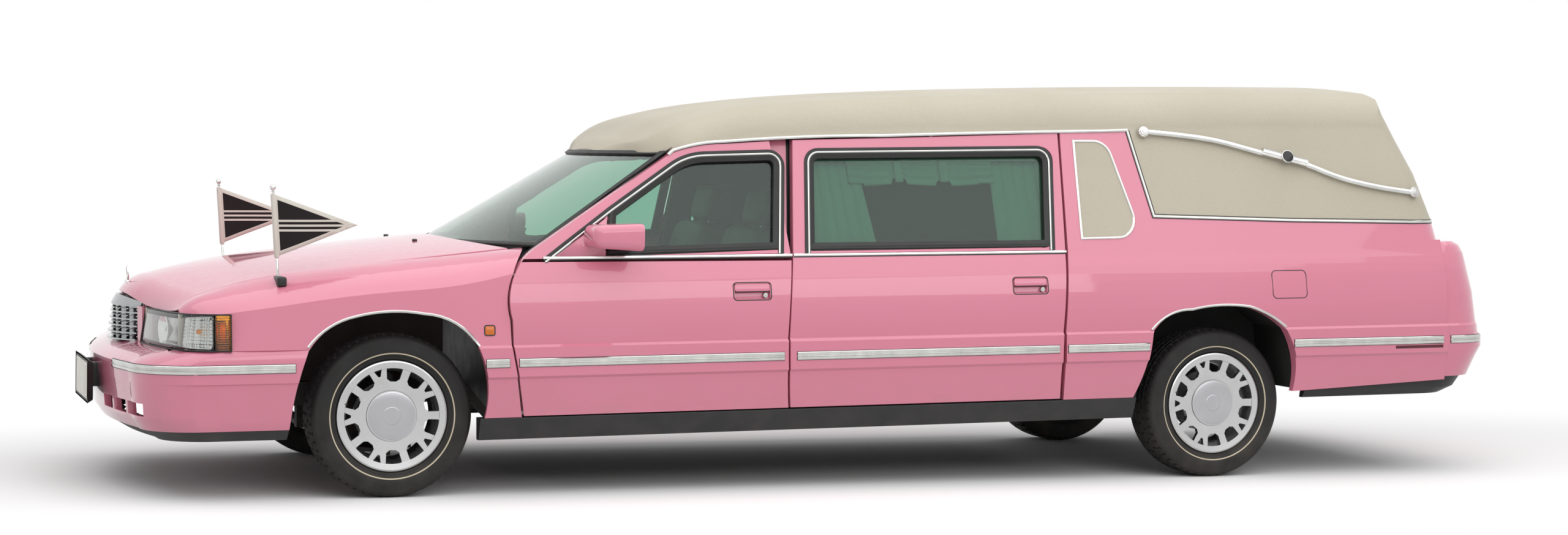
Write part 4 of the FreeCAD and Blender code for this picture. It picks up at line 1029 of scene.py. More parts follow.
bm = formed(4, amber["ribs"] * 4, ribbedCorner)
outwardFaces(bm, (0, 1, 0))
ambers = pair("amberCorner", bm, amberLens, "body", 50)
for obj in ambers:
    thickened(obj, 0.004)
bm = bmesh.new()
verts = [bm.verts.new(place(front(x), y - 0.022, z)) for x, y, z in (
    (0.700, 0.940, lampLow), (0.640, 0.950, lampLow), (0.640, 0.946, lampHigh), (0.700, 0.932, lampHigh))]
bm.faces.new(verts)
for obj in pair("amberBack", bm, satinMetal, "body"):
    thickened(obj, 0.003)


# Dark gasket round the headlamp and its amber corner.
gasket = millimetres([(-2.4, -14), (-2.4, 0.5), (-1.2, 1.4), (1.2, 1.4), (2.4, 0.5), (2.4, -14)])
runs = []
for edge, height, z in zip(lampEdges, (0, 1), (lampLow + 0.001, lampHigh - 0.001)):
    runs.append([(place(front(x), y, z), lampPoint(i / (len(edge) - 1), height, 0)[1])
                 for i, (x, y) in enumerate(edge)])
ends = [(amber["low"][1], lampLow + 0.001), ((0.640, 0.951), lampHigh - 0.010),
        (amber["high"][1], lampHigh - 0.001)]
loop = runs[0] + [(place(front(x), y, z), amber["out"]) for (x, y), z in ends] + runs[1][::-1]
pair("lampGasket", sweep(gasket, loop, True), rubber, "body", 50)
print("headlamps made")


# Grille: chrome blades darkened as painted shade over a dark case, with a small bright wedge in each cell.
assign("grille", chromeDarkenedAsShade)
grille = {"half": 0.252, "front": 0.968, "sag": 0.084, "low": 0.607, "pitch": 0.0275, "foot": 0.6085,
          "top": 0.7435, "wedge": (0.014, 0.010, 0.003)}


def grilleX(y, reach):    # station of the grille's bow at a distance from the middle
    return front(reach - grille["sag"] * (y / grille["half"]) ** 2)


def grilleBack(u, v):
    y = grille["half"] * (2 * u - 1)
    return place(grilleX(y, grille["front"]), y, grille["foot"] + (grille["top"] - grille["foot"]) * v)


thickened(piece("grilleCase", formed(24, 1, grilleBack), blackPlastic, "body"), 0.002, 0.0)
for r in range(5):
    for c in range(16):
        y = grille["half"] * ((c + 0.5) / 8 - 1)
        spot = place(grilleX(y, grille["front"] + 0.020), y, grille["low"] + (r + 0.62) * grille["pitch"])
        block("grilleWedge%d.%d" % (r, c), grille["wedge"], spot, chrome, bevel=0.001, both=False,
              turn=Matrix.Rotation(0.5, 4, "Y"))
print("grille made")


# Black gasket round the windscreen: (station, half width, height) of its lower and upper corner and middle.
screen = {
    "low": (front(-0.359), front(-0.615), 0.800, 1.004), "high": (front(-1.018), front(-1.185), 0.690, 1.378),
    "rim": millimetres([(-13, -6), (-13, 2), (-9, 4.5), (-2, 3), (2, 5.5), (8, 5.5), (12, 2), (12, -6)]),
    "lean": (0.505, 0.863), "arc": 1.378,
}


def screenEdge(row, steps, fromSide=1):    # points across the screen at one height, side to side
    middle, corner, half, z = row
    bend = (half * half + (middle - corner) ** 2) / (2 * (middle - corner))
    out = []
    for k in range(steps + 1):
        y = fromSide * half * (1 - 2 * k / steps)
        x = middle - bend + math.sqrt(bend * bend - y * y)
        turn = math.asin(y / screen["arc"])
        ahead, up = screen["lean"]
        lean = Vector((ahead * math.cos(turn), ahead * math.sin(turn), up))
        out.append((place(x, y, z), lean.normalized()))
    return out


loop = screenEdge(screen["low"], 16) + screenEdge(screen["high"], 16, -1)
piece("screenGasket", sweep(screen["rim"], loop, True), rubber, "body", 50)

# The front doors' mirrors: a rounded head that grows out of the door, narrower and lower at its front end.
head = {
    "size": (0.222, 0.216, 0.114), "spot": (front(-0.902), 0.9765, 1.039), "front": (0.86, 0.80),
    "round": 0.033, "back": -0.092,
    "sail": ((front(-0.676), 0.958), (front(-0.877), 0.958), (front(-0.899), 1.113)),
    "lift": 0.0055, "plate": (front(-0.9985), 1.0035, 1.032), "wide": 0.0485, "tall": 0.032,
}
bm = bmesh.new()
bmesh.ops.create_cube(bm, size=1)
bmesh.ops.scale(bm, vec=head["size"], verts=bm.verts)
for vert in bm.verts:
    if vert.co.x > 0:
        vert.co.y = (vert.co.y + head["size"][1] / 2) * head["front"][0] - head["size"][1] / 2
        vert.co.z *= head["front"][1]
softened(bm, bm.edges[:], head["round"], 7, clamp_overlap=True)
cut = bmesh.ops.bisect_plane(bm, geom=whole(bm), plane_co=(head["back"], 0, 0), plane_no=(-1, 0, 0),
                             clear_outer=True)
bmesh.ops.edgeloop_fill(bm, edges=edgesOf(cut["geom_cut"]))
bmesh.ops.recalc_face_normals(bm, faces=bm.faces)
bmesh.ops.translate(bm, vec=place(*head["spot"]), verts=bm.verts)
pair("mirrorHead", bm, pink, doorBodies("front"), 40)
bm = bmesh.new()    # the flat sail that the head stands on
corners = [onPlane(x, z) for x, z in head["sail"]]
bm.faces.new([bm.verts.new(point + normal * head["lift"]) for point, normal in corners])
outwardFaces(bm, (0, 1, 0))
for obj in pair("mirrorSail", bm, pink, doorBodies("front"), 40):
    thickened(obj, 0.006)

# A bright plate in a dark rim at the back of each head.
for label, grow, finish, depth in (("MirrorRim", 0.006, blackPlastic, 0.002),
                                   ("MirrorPlate", 0.0, chrome, 0.0035)):
    bm = bmesh.new()
    x, y, z = head["plate"]
    corners = [(a * head["wide"] * (1 + grow / 0.04), b * head["tall"] * (1 + grow / 0.04))
               for a, b in ((-1, -1), (1, -1), (1, 1), (-1, 1))]
    bm.faces.new([bm.verts.new(place(x, y + a, z + b)) for a, b in corners])
    softened(bm, bm.verts[:], 0.014, 5, "VERTICES")
    outwardFaces(bm, (-1, 0, 0))
    out = bmesh.ops.extrude_face_region(bm, geom=bm.faces[:])
    bmesh.ops.translate(bm, vec=(-depth, 0, 0), verts=vertsOf(out["geom"]))
    bmesh.ops.recalc_face_normals(bm, faces=bm.faces)
    pair("door" + label, bm, finish, doorBodies("front"))
print("glass edges made")


# Curtains on the rear doors: pleated side falls, a swagged valance in three parts, and behind them a black
# sheet across the window that stands in for the shaded compartment (painted shade).
curtain = {
    "behind": 0.052, "low": 0.975, "high": 1.392, "head": 1.352,
    "front": (front(-1.805), front(-2.04)), "back": (rear(1.03), rear(0.76)), "pleats": 5, "deep": 0.007,
    "swag": 1.258, "lobe": 0.018, "tabs": (0.345, 0.655), "tabFoot": 1.262,
    "valance": (front(-1.99), rear(1.02)), "wide": (front(-1.800), rear(0.765)),
}


def curtainPoint(x, z, out):    # a point behind the rear door's glass, out from the curtain's plane
    point, normal = onPlane(x, z)
    return point + normal * (out - curtain["behind"])


def alongRun(name, u):    # the station at a share of a run's width
    return curtain[name][0] + (curtain[name][1] - curtain[name][0]) * u


def clothGrid(name, columns, rows, at, finish):
    made = pair(name, formed(columns, rows, at), finish, doorBodies("rear"), 60)
    for obj, door in zip(made, doorBodies("rear")):
        thickened(obj, 0.0012, 0.0)


for label, (x0, x1), lean, flat in (("Front", curtain["front"], -0.055, 0.30),
                                    ("Back", curtain["back"], -0.030, 0.40)):
    def fall(u, v, x0=x0, x1=x1, lean=lean):
        z = curtain["low"] + (curtain["head"] - curtain["low"]) * v
        fold = abs(math.sin(math.pi * curtain["pleats"] * u)) ** 0.7
        return curtainPoint(x0 + (x1 + lean * (1 - v) - x0) * u, z, curtain["deep"] * fold)
    clothGrid("curtain" + label, 60, 14, fall, curtainCloth)


def valance(u, v):    # three swags between two tabs, with a scalloped lower edge
    tabAway = min(abs(u - t) for t in curtain["tabs"])
    lobe = curtain["lobe"] * abs(math.sin(math.pi * (1.5 * u + 0.5))) if 0.1 < u < 0.9 else 0.0
    foot = curtain["swag"] - lobe * 0.6 + (0.022 if tabAway < 0.05 else 0.0)
    z = foot + (curtain["head"] - foot) * v
    gather = 0.006 * math.sin(math.pi * 6 * v) * (1 - math.exp(-12 * tabAway))
    return curtainPoint(alongRun("valance", u), z, 0.011 + gather)


clothGrid("curtainValance", 72, 24, valance, curtainCloth)
for k, share in enumerate(curtain["tabs"]):
    def tab(u, v, share=share):
        z = curtain["tabFoot"] + (curtain["head"] - curtain["tabFoot"]) * v
        x = alongRun("valance", share + 0.056 * (u - 0.5))
        return curtainPoint(x, z, 0.019 + 0.003 * math.sin(math.pi * u))
    clothGrid("curtainTab%d" % k, 6, 8, tab, curtainCloth)


def heading(u, v):
    z = curtain["head"] + (curtain["high"] - curtain["head"]) * v
    return curtainPoint(alongRun("wide", u), z, 0.013 + 0.0015 * math.sin(70 * u))


clothGrid("curtainHead", 60, 4, heading, curtainCloth)


# Painted shade: a black cloth sheet across the whole window behind the curtains stands for the dark
# compartment.
def shadeSheet(u, v):
    return curtainPoint(alongRun("wide", u), curtain["low"] + (curtain["high"] - curtain["low"]) * v, -0.012)


clothGrid("curtainShadeSheet", 12, 4, shadeSheet, blackCloth)
for k, share in enumerate((0.36, 0.62)):
    spot = curtainPoint(alongRun("wide", share), 0.984, 0.020)
    block("curtainClip%d" % k, (0.046, 0.006, 0.016), spot, paleCloth, doorBodies("rear"), bevel=0.0015)
print("curtains hung")


# Front seats: crowned pads with a sewn line across and two bright posts for the head pad, in place of the
# hidden CAD seats.
seat = {
    "cushion": ((0.520, 0.500, 0.150), (front(-1.310), 0.370, 0.452), 0.05),
    "back": ((0.130, 0.490, 0.560), (front(-1.640), 0.370, 0.770), -0.22),
    "head": ((0.090, 0.270, 0.150), (front(-1.745), 0.370, 1.135), -0.22),
}


def pad(name, size, spot, lean, crown, seams):
    bm = bmesh.new()
    bmesh.ops.create_cube(bm, size=1)
    bmesh.ops.subdivide_edges(bm, edges=bm.edges, cuts=11, use_grid_fill=True)
    for vert in bm.verts:
        c = vert.co.copy()
        swell = [math.cos(math.pi * p) if abs(p) < 0.499 else 0.0 for p in c]
        for k in range(3):
            if abs(c[k]) > 0.499:
                a, b = [swell[j] for j in range(3) if j != k]
                vert.co[k] = math.copysign(0.5 * size[k] + crown * math.sqrt(max(0, a * b)), c[k])
            else:
                vert.co[k] = c[k] * size[k]
        pull = 1 - 0.10 * abs(2 * c.x) ** 3 * abs(2 * c.y) ** 3 * abs(2 * c.z) ** 3
        vert.co *= pull
        face, over = (0, 2) if size[0] < 0.2 else (2, 0)    # an upright pad is seamed across its front
        for seam in seams:
            dip = 0.006 * math.exp(-((c[over] - seam) / 0.03) ** 2)
            vert.co[face] -= math.copysign(dip, c[face])
    bmesh.ops.transform(bm, matrix=Matrix.Rotation(lean, 4, "Y"), verts=bm.verts)
    bmesh.ops.translate(bm, vec=place(*spot), verts=bm.verts)
    made = pair(name, bm, leather, "body", 80)
    for obj in made:
        smooth = obj.modifiers.new("smooth", "SUBSURF")
        smooth.levels = smooth.render_levels = 1
    return made


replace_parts(pad("seatCushion", *seat["cushion"], 0.016, (-0.18, 0.15))[0], "seats")
pad("seatBack", *seat["back"], 0.012, (-0.2, 0.1, 0.3))
pad("seatHead", *seat["head"], 0.010, ())
for y in (-0.06, 0.06):
    disc("seatPost%d" % (y > 0), place(front(-1.715), 0.370 + y, 1.055), 0.006, 0.006, 0.10, stainless,
         segments=16, turn=Matrix.Rotation(-0.22, 4, "Y"))
print("seats made")


# Door handles: a dark line round the well, a pull flap over its upper part with a black strip under it as
# painted shadow, and a round lock.
def outlineOf(ahead, behind, foot, top, radius, steps=5):
    corners = (ahead, foot), (behind, foot), (behind, top), (ahead, top)
    return rounded([(x, z, radius) for x, z in corners], steps)


def ringLine(label, names, corners, profile, finish, bodies, both=True):    # a closed bead on the left skin
    bm = sweep(profile, [onSide(names, x, z) for x, z in corners], True)
    return pair(label, bm, finish, bodies, 50) if both else piece(label, bm, finish, bodies, 50)


def plateOn(label, names, corners, lift, depth, finish, bodies, bevel=0.002):    # a slab following the skin
    bm = bmesh.new()
    spots = [onSide(names, x, z) for x, z in corners]
    normal = sum((n for p, n in spots), Vector()).normalized()
    face = bm.faces.new([bm.verts.new(p + normal * lift) for p, n in spots])
    face.normal_update()
    if face.normal.y < 0:
        face.normal_flip()
    out = bmesh.ops.extrude_face_region(bm, geom=bm.faces[:])
    bmesh.ops.translate(bm, vec=-normal * depth, verts=vertsOf(out["geom"]))
    bmesh.ops.recalc_face_normals(bm, faces=bm.faces)
    softened(bm, creased(bm, 0.8), bevel, 2)
    bmesh.ops.triangulate(bm, faces=[f for f in bm.faces if len(f.verts) > 4])
    return pair(label, bm, finish, bodies, 40)


thin = millimetres([(-1.5, -2), (-1.5, 1.3), (1.5, 1.3), (1.5, -2)])
for end in ("front", "rear"):
    ahead, behind, foot, top = handle[end]
    names = [end + "_door_left"]
    ringLine(end + "HandleLine", names, outlineOf(ahead, behind, foot, top, 0.014),
             millimetres([(-2.6, -2), (-2.6, 0.8), (0, 1.2), (1.6, 0.8), (1.6, -2)]), rubber, doorBodies(end))
    flap = outlineOf(ahead - 0.006, behind + 0.006, top - 0.036, top - 0.006, 0.007)
    plateOn(end + "HandleFlap", names, flap, 0.003, 0.012, pink, doorBodies(end))
    # Painted shadow: a thin black strip just under the flap's lower edge stands for the shade the flap casts.
    lip = outlineOf(ahead - 0.006, behind + 0.006, top - 0.0385, top - 0.0360, 0.0011)
    plateOn(end + "HandleShadowStrip", names, lip, 0.0035, 0.010, rubber, doorBodies(end), bevel=0.0004)
    point = onSide(names, behind + 0.026, foot + 0.018)[0]
    spot = place(behind + 0.026, point.y - 0.006, foot + 0.018)
    disc(end + "Lock", spot, 0.010, 0.010, 0.016, satinMetal, doorBodies(end), bevel=0.001,
         turn=Matrix.Rotation(math.radians(-90), 4, "X"))

# Fuel door on the left, a marker lamp ahead of each front door, and a red slot under the rear strip.
fuel = (fromMiddle(-2.089), fromMiddle(-2.260), 0.736, 0.858)
ringLine("fuelDoorLine", ["quarters"], outlineOf(*fuel, 0.020, 6), thin, rubber, "body", False)
marker = (fromMiddle(1.476), fromMiddle(1.435), 0.648, 0.687)
markerForm = millimetres([(-3, -1), (-3, 1.4), (1, 1.4), (1, -1)])
ringLine("markerRim", ["fenders"], outlineOf(*marker, 0.008), markerForm, rubber, "body")
lens = [edge + 0.002 * way for edge, way in zip(marker, (-1, 1, 1, -1))]
plateOn("markerLens", ["fenders"], outlineOf(*lens, 0.007), 0.003, 0.004, amberMarker, "body")
slot = (rear(-0.870), rear(-1.117), 0.4995, 0.5125)
plateOn("redSlot", ["quarters"], outlineOf(*slot, 0.0015), 0.0012, 0.003, redSlot, "body", bevel=0.0004)
print("small side pieces made")


# Number plate: a dark curved bracket with a blank plate in it, both set by the node's own box.
plateLow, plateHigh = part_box("number_plate")
plate = {"wide": plateHigh.y - plateLow.y, "low": plateLow.z + 0.004, "high": plateHigh.z - 0.002,
         "front": plateHigh.x - 0.003, "back": plateLow.x}
bm = bmesh.new()
tall = plate["high"] - plate["low"]
middle = Vector((plate["front"] - 0.012, 0, (plate["high"] + plate["low"]) / 2))
bmesh.ops.create_cube(bm, size=1)
bmesh.ops.scale(bm, vec=(0.022, plate["wide"], tall), verts=bm.verts)
face = max(bm.faces, key=lambda f: f.normal.x)
bmesh.ops.inset_region(bm, faces=[face], thickness=0.010, depth=0.0)
bmesh.ops.inset_region(bm, faces=[face], thickness=0.002, depth=-0.003)
back = min(bm.faces, key=lambda f: f.normal.x)
for vert in back.verts:
    vert.co.z *= 0.86
    vert.co.y *= 0.97
upright = [e for e in bm.edges if abs((e.verts[0].co - e.verts[1].co).normalized().x) > 0.5]
softened(bm, upright, 0.012, 4)
bmesh.ops.translate(bm, vec=middle, verts=bm.verts)
bracket = piece("plateBracket", bm, blackPlastic, "body", 30)
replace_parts(bracket, "number_plate")
block("plateBlank", (0.0022, plate["wide"] - 0.080, tall - 0.030), middle + Vector((0.0105, 0, 0)), insert,
      bevel=0.0009, both=False)
for y in (-0.12, 0.12):
    block("plateStay%d" % (y > 0), (0.050, 0.040, 0.100), Vector((plate["back"] + 0.030, y, middle.z + 0.02)),
          blackPlastic, bevel=0.006, both=False)
for y in (-0.18, 0.18):
    for z in (-0.5, 0.5):
        spot = middle + Vector((0.0125, y, z * (tall - 0.055)))
        disc("plateScrew%d.%d" % (y > 0, z > 0), spot, 0.005, 0.004, 0.003, stainless, segments=16,
             turn=Matrix.Rotation(math.radians(90), 4, "Y"), bevel=0.0008, both=False)
print("number plate made")


# Pennants on the fenders: a foot, a stepped staff with a ball, and a striped cloth sewn to a sleeve.
pennant = {
    "side": 0.747, "foot": (front(0.425), 0.880), "top": (front(0.443), 1.228), "sleeve": (0.959, 1.216),
    "cloth": [(front(0.430), 0.965), (front(0.443), 1.214), (front(0.104), 1.087)], "hem": 0.016,
    "stripes": (-0.0175, 0.0015, 0.0205), "stripe": 0.0042, "wave": 0.009,
}


def onPennant(x, z, out=0.0):
    return place(x, pennant["side"], z) + Vector((0, out, 0))


def staffRun(z):    # station of the staff at a height
    (x0, z0), (x1, z1) = pennant["foot"], pennant["top"]
    return x0 + (x1 - x0) * (z - z0) / (z1 - z0)


def turned(label, rows, finish):    # a turned piece along the staff from (height, radius) rows
    bm = revolved([(r, 0, z) for z, r in rows], (0, 0, 1), 24)
    for vert in bm.verts:
        z = vert.co.z
        vert.co = onPennant(staffRun(z), z) + Vector((vert.co.x, vert.co.y, 0))
    return pair(label, bm, finish, "body", 40)


shoulder = onSide(["fenders"], front(0.425), 0.852)[0].y
inner, outer = 0.730, shoulder + 0.012
spot = place(front(0.425), (outer + inner) / 2, 0.8685)
block("pennantFoot", (0.037, outer - inner, 0.040), spot, blackPlastic, bevel=0.008)
ball = [(1.240 - 0.0118 * math.cos(math.radians(a)), 0.0118 * math.sin(math.radians(a)))
        for a in range(24, 181, 12)]
for label, rows, finish in (
        ("Staff", [(0.884, 0), (0.884, 0.0052), (0.958, 0.0052), (0.960, 0.0038), (1.222, 0.0038),
                   (1.2225, 0)], chrome),
        ("Sleeve", [(0.960, 0.0045), (0.960, 0.0088), (0.965, 0.0105), (1.08, 0.0098), (1.205, 0.0105),
                    (1.214, 0.0085), (1.214, 0.0045)], paleCloth),
        ("Finial", [(1.220, 0), (1.220, 0.007), (1.2235, 0.0075), (1.2265, 0.0045), (1.229, 0.0045)] + ball,
         chrome)):
    turned("pennant" + label, rows, finish)

cloth = [Vector(c) for c in pennant["cloth"]]
mid = (cloth[0] + cloth[1]) / 2
axis = (cloth[2] - mid).normalized()
side = Vector((-axis.y, axis.x))
edgeNormals = []
for k in range(3):
    a, b = cloth[k], cloth[(k + 1) % 3]
    n = Vector((-(b - a).y, (b - a).x)).normalized()
    if n.dot(cloth[(k + 2) % 3] - a) < 0:
        n = -n
    edgeNormals.append((a, n))
bm = bmesh.new()
bm.faces.new([bm.verts.new((c.x, 0, c.y)) for c in cloth])
lines = [(mid + side * (s + w * pennant["stripe"]), side) for s in pennant["stripes"] for w in (-1, 1)]
lines += [(a + n * pennant["hem"], n) for a, n in edgeNormals]
lines += [(mid + axis * d / 100, axis) for d in range(2, 34, 1)]
for point, normal in lines:
    bmesh.ops.bisect_plane(bm, geom=whole(bm), plane_co=(point.x, 0, point.y),
                           plane_no=(normal.x, 0, normal.y), dist=1e-6)
for face in bm.faces:
    c = face.calc_center_median()
    spot = Vector((c.x, c.z))
    hem = min((spot - a).dot(n) for a, n in edgeNormals) < pennant["hem"]
    across = (spot - mid).dot(side)
    striped = any(abs(across - s) < pennant["stripe"] for s in pennant["stripes"])
    face.material_index = 1 if hem or striped else 0
for vert in bm.verts:
    spot = Vector((vert.co.x, vert.co.z))
    run = (spot - mid).dot(axis)
    lift = pennant["wave"] * math.sin(run * 16) * min(1, run / 0.08) * (0.7 + 3 * (spot - mid).dot(side))
    vert.co = onPennant(vert.co.x, vert.co.z, lift)
bmesh.ops.recalc_face_normals(bm, faces=bm.faces)
flat = ((cloth[2] - mid).length, (cloth[1] - cloth[0]).length)
cloths = pair("pennantCloth", bm, [blackCloth, paleCloth], "body", 60)
for obj in cloths:
    thickened(obj, 0.0012, 0.0)
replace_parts(cloths[0], "flags")
print("pennants made")


# Landau bars: turned rosettes at the ends, a fluted sleeve in the middle and a plain dark badge.
def barPoint(x, z, out):
    point, normal = onSide(["roof", "quarters"], fromMiddle(x), z)
    return point + normal * out, normal


bar = [(0.271, 1.465), (0.101, 1.449), (-0.069, 1.425), (-0.284, 1.372), (-0.400, 1.350), (-0.501, 1.320),
       (-0.668, 1.260), (-0.850, 1.219), (-1.032, 1.193)]
bar = [Vector((rear(x), z, onSide(["roof", "quarters"], rear(x), z)[0].y)) for x, z in bar]
line = []
for i in range(len(bar) - 1):    # a smooth curve through the bar's points
    p = [bar[max(0, min(len(bar) - 1, j))] for j in (i - 1, i, i + 1, i + 2)]
    for k in range(5):
        t = k / 5
        line.append(0.5 * (2 * p[1] + (p[2] - p[0]) * t + (2 * p[0] - 5 * p[1] + 4 * p[2] - p[3]) * t * t
                           + (3 * p[1] - p[0] - 3 * p[2] + p[3]) * t ** 3))
line.append(bar[-1])
lean = onSide(["roof", "quarters"], rear(0.0), 1.40)[1]
stations = [(Vector((place(q.x, 0, q.y).x, q.z, place(q.x, 0, q.y).z)) + lean * 0.020, lean) for q in line]
barForm = millimetres([(-12, -5), (-12.5, 0), (-9, 4.5), (0, 6.5), (9, 4.5), (12.5, 0), (12, -5), (0, -7)])
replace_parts(pair("landauBar", sweep(barForm, stations), chrome, "body", 50)[0], "landau_bars")
rosette = (("Base", 0.027, 0.010, 0.022, chrome), ("Ring", 0.021, 0.006, 0.030, stainless),
           ("Boss", 0.013, 0.008, 0.033, chrome))
for k, (x, z) in enumerate(((-1.548, 1.465), (-2.872, 1.193))):
    for label, radius, depth, out, finish in rosette:
        point, normal = barPoint(x, z, out)
        disc("rosette%s%d" % (label, k), point, radius, radius * 0.86, depth, finish, segments=32,
             bevel=0.0018, turn=facing(normal))
ahead, normal = barPoint(-2.124, 1.377, 0.026)
behind, normal = barPoint(-2.341, 1.324, 0.026)
run = [(ahead + (behind - ahead) * t, normal) for t in (0, 0.04, 0.08, 0.92, 0.96, 1)]
sleeveForm = millimetres([(-17, -8), (-17, 6), (-13, 11), (-9, 9), (-4, 12), (4, 12), (9, 9), (13, 11),
                          (17, 6), (17, -8)])
pair("barSleeve", sweep(sleeveForm, run), chrome, "body", 30)
for label, radius, depth, out, finish in (("Rim", 0.030, 0.012, 0.036, chrome),
                                          ("Face", 0.0265, 0.004, 0.0425, badgeBlack)):
    point, normal = barPoint(-2.240, 1.350, out)
    disc("barBadge" + label, point, radius, radius * 0.97, depth, finish, segments=40, bevel=0.0012,
         turn=facing(normal))
print("landau bars finished")


# A plain upright ring stands on the hood's nose, and two washer jets near the screen.
ringAt = place(fromMiddle(2.767), 0, 0.872)
ringForm = millimetres([(-3, -2.5), (-3, 2.5), (0, 3.2), (3, 2.5), (3, -2.5), (0, -3.2)])
stations = []
for k in range(32):
    c, s = math.cos(2 * math.pi * k / 32), math.sin(2 * math.pi * k / 32)
    stations.append((ringAt + Vector((0.002 * s, 0.019 * c, 0.028 * s)), Vector((0, c, s))))
piece("noseRing", sweep(ringForm, stations, True), chrome, "hood", 50)
foot = onTop(["hood"], fromMiddle(2.767), 0.0)[0]
for label, lift, low, high, depth, sides, edge in (("noseFoot", 0.003, 0.014, 0.009, 0.008, 24, 0.001),
                                                   ("noseStem", 0.008, 0.005, 0.004, 0.016, 16, 0.0)):
    disc(label, Vector((foot.x, 0, foot.z + lift)), low, high, depth, chrome, "hood", sides, bevel=edge,
         both=False)
point = onTop(["hood"], fromMiddle(1.62), 0.30)[0]
block("washerJet0", (0.020, 0.016, 0.010), point + Vector((0, 0, 0.003)), blackPlastic, "hood", bevel=0.003)
print("nose and jets made")


# Loading door: a bright-edged rubber round its window, and a pull handle with a lock on the free side.
def onBack(names, y, z):
    return hitFrom(names, place(rear(farOff["behind"]), y, z), place(0, y, z))


gate = {
    "window": rounded([(0.440, 1.070, 0.012), (-0.440, 1.070, 0.012), (-0.440, 1.450, 0.012),
                       (0.440, 1.450, 0.012)], 4),
    "rubber": millimetres([(-9, -3), (-9, 2.5), (0, 4.5), (9, 2.5), (9, -3)]),
    "bead": millimetres([(-2.6, 1), (-2.4, 4.6), (0, 6), (2.4, 4.6), (2.6, 1)]),
    "handle": (-0.455, 0.800),
}
loop = [onBack(["loading_door"], y, z) for y, z in between(gate["window"] + gate["window"][:1], 0.12)[:-1]]
piece("gateRubber", sweep(gate["rubber"], loop, True), rubber, "loading_door", 50)
piece("gateBead", sweep(gate["bead"], loop, True), stainless, "loading_door", 50)
point, normal = onBack(["loading_door"], *gate["handle"])
gateBits = {"body": "loading_door", "turn": facing(normal), "both": False}
block("gateHandlePlate", (0.150, 0.046, 0.008), point + normal * 0.003, blackPlastic, bevel=0.003, **gateBits)
block("gateHandleGrip", (0.124, 0.018, 0.012), point + normal * 0.018, chrome, bevel=0.005, **gateBits)
for k, y in enumerate((-0.055, 0.055)):
    block("gateHandlePost%d" % k, (0.012, 0.014, 0.020), point + normal * 0.010 + Vector((0, y, 0)), chrome,
          bevel=0.003, **gateBits)
lock = onBack(["loading_door"], gate["handle"][0], gate["handle"][1] - 0.055)[0]
disc("gateLock", lock, 0.012, 0.011, 0.010, satinMetal, bevel=0.001, **gateBits)

# A dark slatted screen stands behind the front bumper's intakes.
intake = {"at": place(front(0.800), 0, 0.385), "size": (0.004, 1.36, 0.150), "slats": 6}
block("intakeScreen", intake["size"], intake["at"], blackPlastic, bevel=0.0015, both=False)
for k in range(intake["slats"]):
    lift = intake["size"][2] * ((k + 0.5) / intake["slats"] - 0.5)
    block("intakeSlat%d" % k, (0.012, intake["size"][1], 0.004), intake["at"] + Vector((0.008, 0, lift)),
          blackPlastic, bevel=0.001, both=False)
print("rear door and intake made")


def seenByEye(tree):    # 1 for the camera's own rays and those it sees by glossy and clear surfaces
    path = add(tree, "LightPath", {})
    seen = path.outputs["Is Camera Ray"]
    for kind in ("Is Glossy Ray", "Is Transmission Ray"):
        seen = add(tree, "Math", {0: seen, 1: path.outputs[kind]}, operation="MAXIMUM")
    return seen


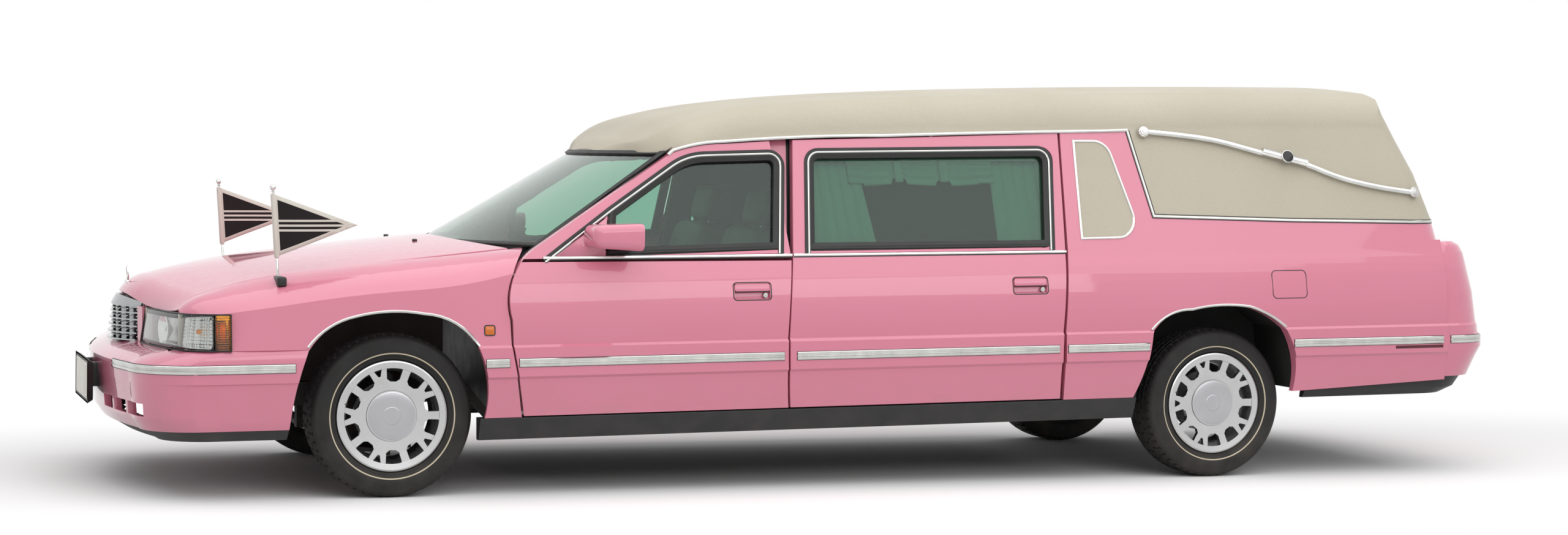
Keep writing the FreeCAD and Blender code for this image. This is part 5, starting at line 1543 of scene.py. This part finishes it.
# A pale studio floor that keeps the shadow near the car and turns to plain white further out.
def floorMaterial():
    material = bpy.data.materials.new("pale studio floor")
    material.use_nodes = True
    tree = material.node_tree
    shader, out = tree.nodes["Principled BSDF"], tree.nodes["Material Output"]
    where = add(tree, "TexCoord", {}).outputs["Object"]
    seen = seenByEye(tree)
    oval = add(tree, "VectorMath", {0: where, 1: (0.21, 0.55, 0.0)}, operation="MULTIPLY")
    reach = add(tree, "VectorMath", {0: oval}, operation="LENGTH").outputs["Value"]
    far = add(tree, "MapRange", {"Value": reach, "From Min": 0.62, "From Max": 1.5},
              interpolation_type="SMOOTHSTEP")
    plain = add(tree, "Math", {0: seen, 1: far}, operation="MULTIPLY")
    tone = add(tree, "Mix", {"Factor": seen, "A": "#CFCFCF", "B": "#FFFFFF"}, data_type="RGBA")
    add(tree, shader, {"Base Color": tone, "Roughness": 0.6, "Specular IOR Level": 0.0})
    glow = add(tree, "Emission", {"Color": "#FFFFFF", "Strength": 1.0})
    add(tree, out, {"Surface": add(tree, "MixShader", {0: plain, 1: shader, 2: glow})})
    return material


bm = bmesh.new()
bmesh.ops.create_grid(bm, x_segments=1, y_segments=1, size=60)
mesh = bpy.data.meshes.new("floor")
bm.to_mesh(mesh)
bm.free()
floor = bpy.data.objects.new("floor", mesh)
mesh.materials.append(floorMaterial())
scene.collection.objects.link(floor)

world = bpy.data.worlds.new("studio")
world.use_nodes = True
scene.world = world
tree = world.node_tree
tone = add(tree, "Mix", {"Factor": seenByEye(tree), "A": "#BCBCBC", "B": "#FFFFFF"}, data_type="RGBA")
add(tree, tree.nodes["Background"], {"Color": tone})


def light(name, size, spot, aim, watts):
    data = bpy.data.lights.new(name, "AREA")
    data.shape = "RECTANGLE"
    data.size, data.size_y = size
    data.energy = watts
    obj = bpy.data.objects.new(name, data)
    obj.location = spot
    obj.rotation_euler = (Vector(aim) - Vector(spot)).to_track_quat("-Z", "Y").to_euler()
    scene.collection.objects.link(obj)
    return obj


light("overhead", (12, 9), (0, 3.2, 4.5), (0, 3.2, 0), 350)
light("side bank", (10, 2.5), (-1, 11, 4.6), (0, 0, 0.6), 165)

camera = {"yaw": 19.640, "pitch": 2.358, "roll": 0.972, "lens": 63.73, "spot": (4.2455, 11.782, 1.402)}
yaw, pitch, roll = (math.radians(camera[key]) for key in ("yaw", "pitch", "roll"))
forward = Vector((-math.sin(yaw) * math.cos(pitch), -math.cos(yaw) * math.cos(pitch), -math.sin(pitch)))
across = Vector((-math.cos(yaw), math.sin(yaw), 0))
upward = across.cross(forward)
right = math.cos(roll) * across + math.sin(roll) * upward
above = -math.sin(roll) * across + math.cos(roll) * upward
data = bpy.data.cameras.new("camera")
data.lens = camera["lens"]
data.sensor_width = 36
data.clip_end = 200
eye = bpy.data.objects.new("camera", data)
turn = Matrix((right, above, -forward)).transposed().to_4x4()
turn.translation = camera["spot"]
eye.matrix_world = turn
scene.collection.objects.link(eye)
scene.camera = eye
scene.view_settings.view_transform = "Standard"

print("scene whole")
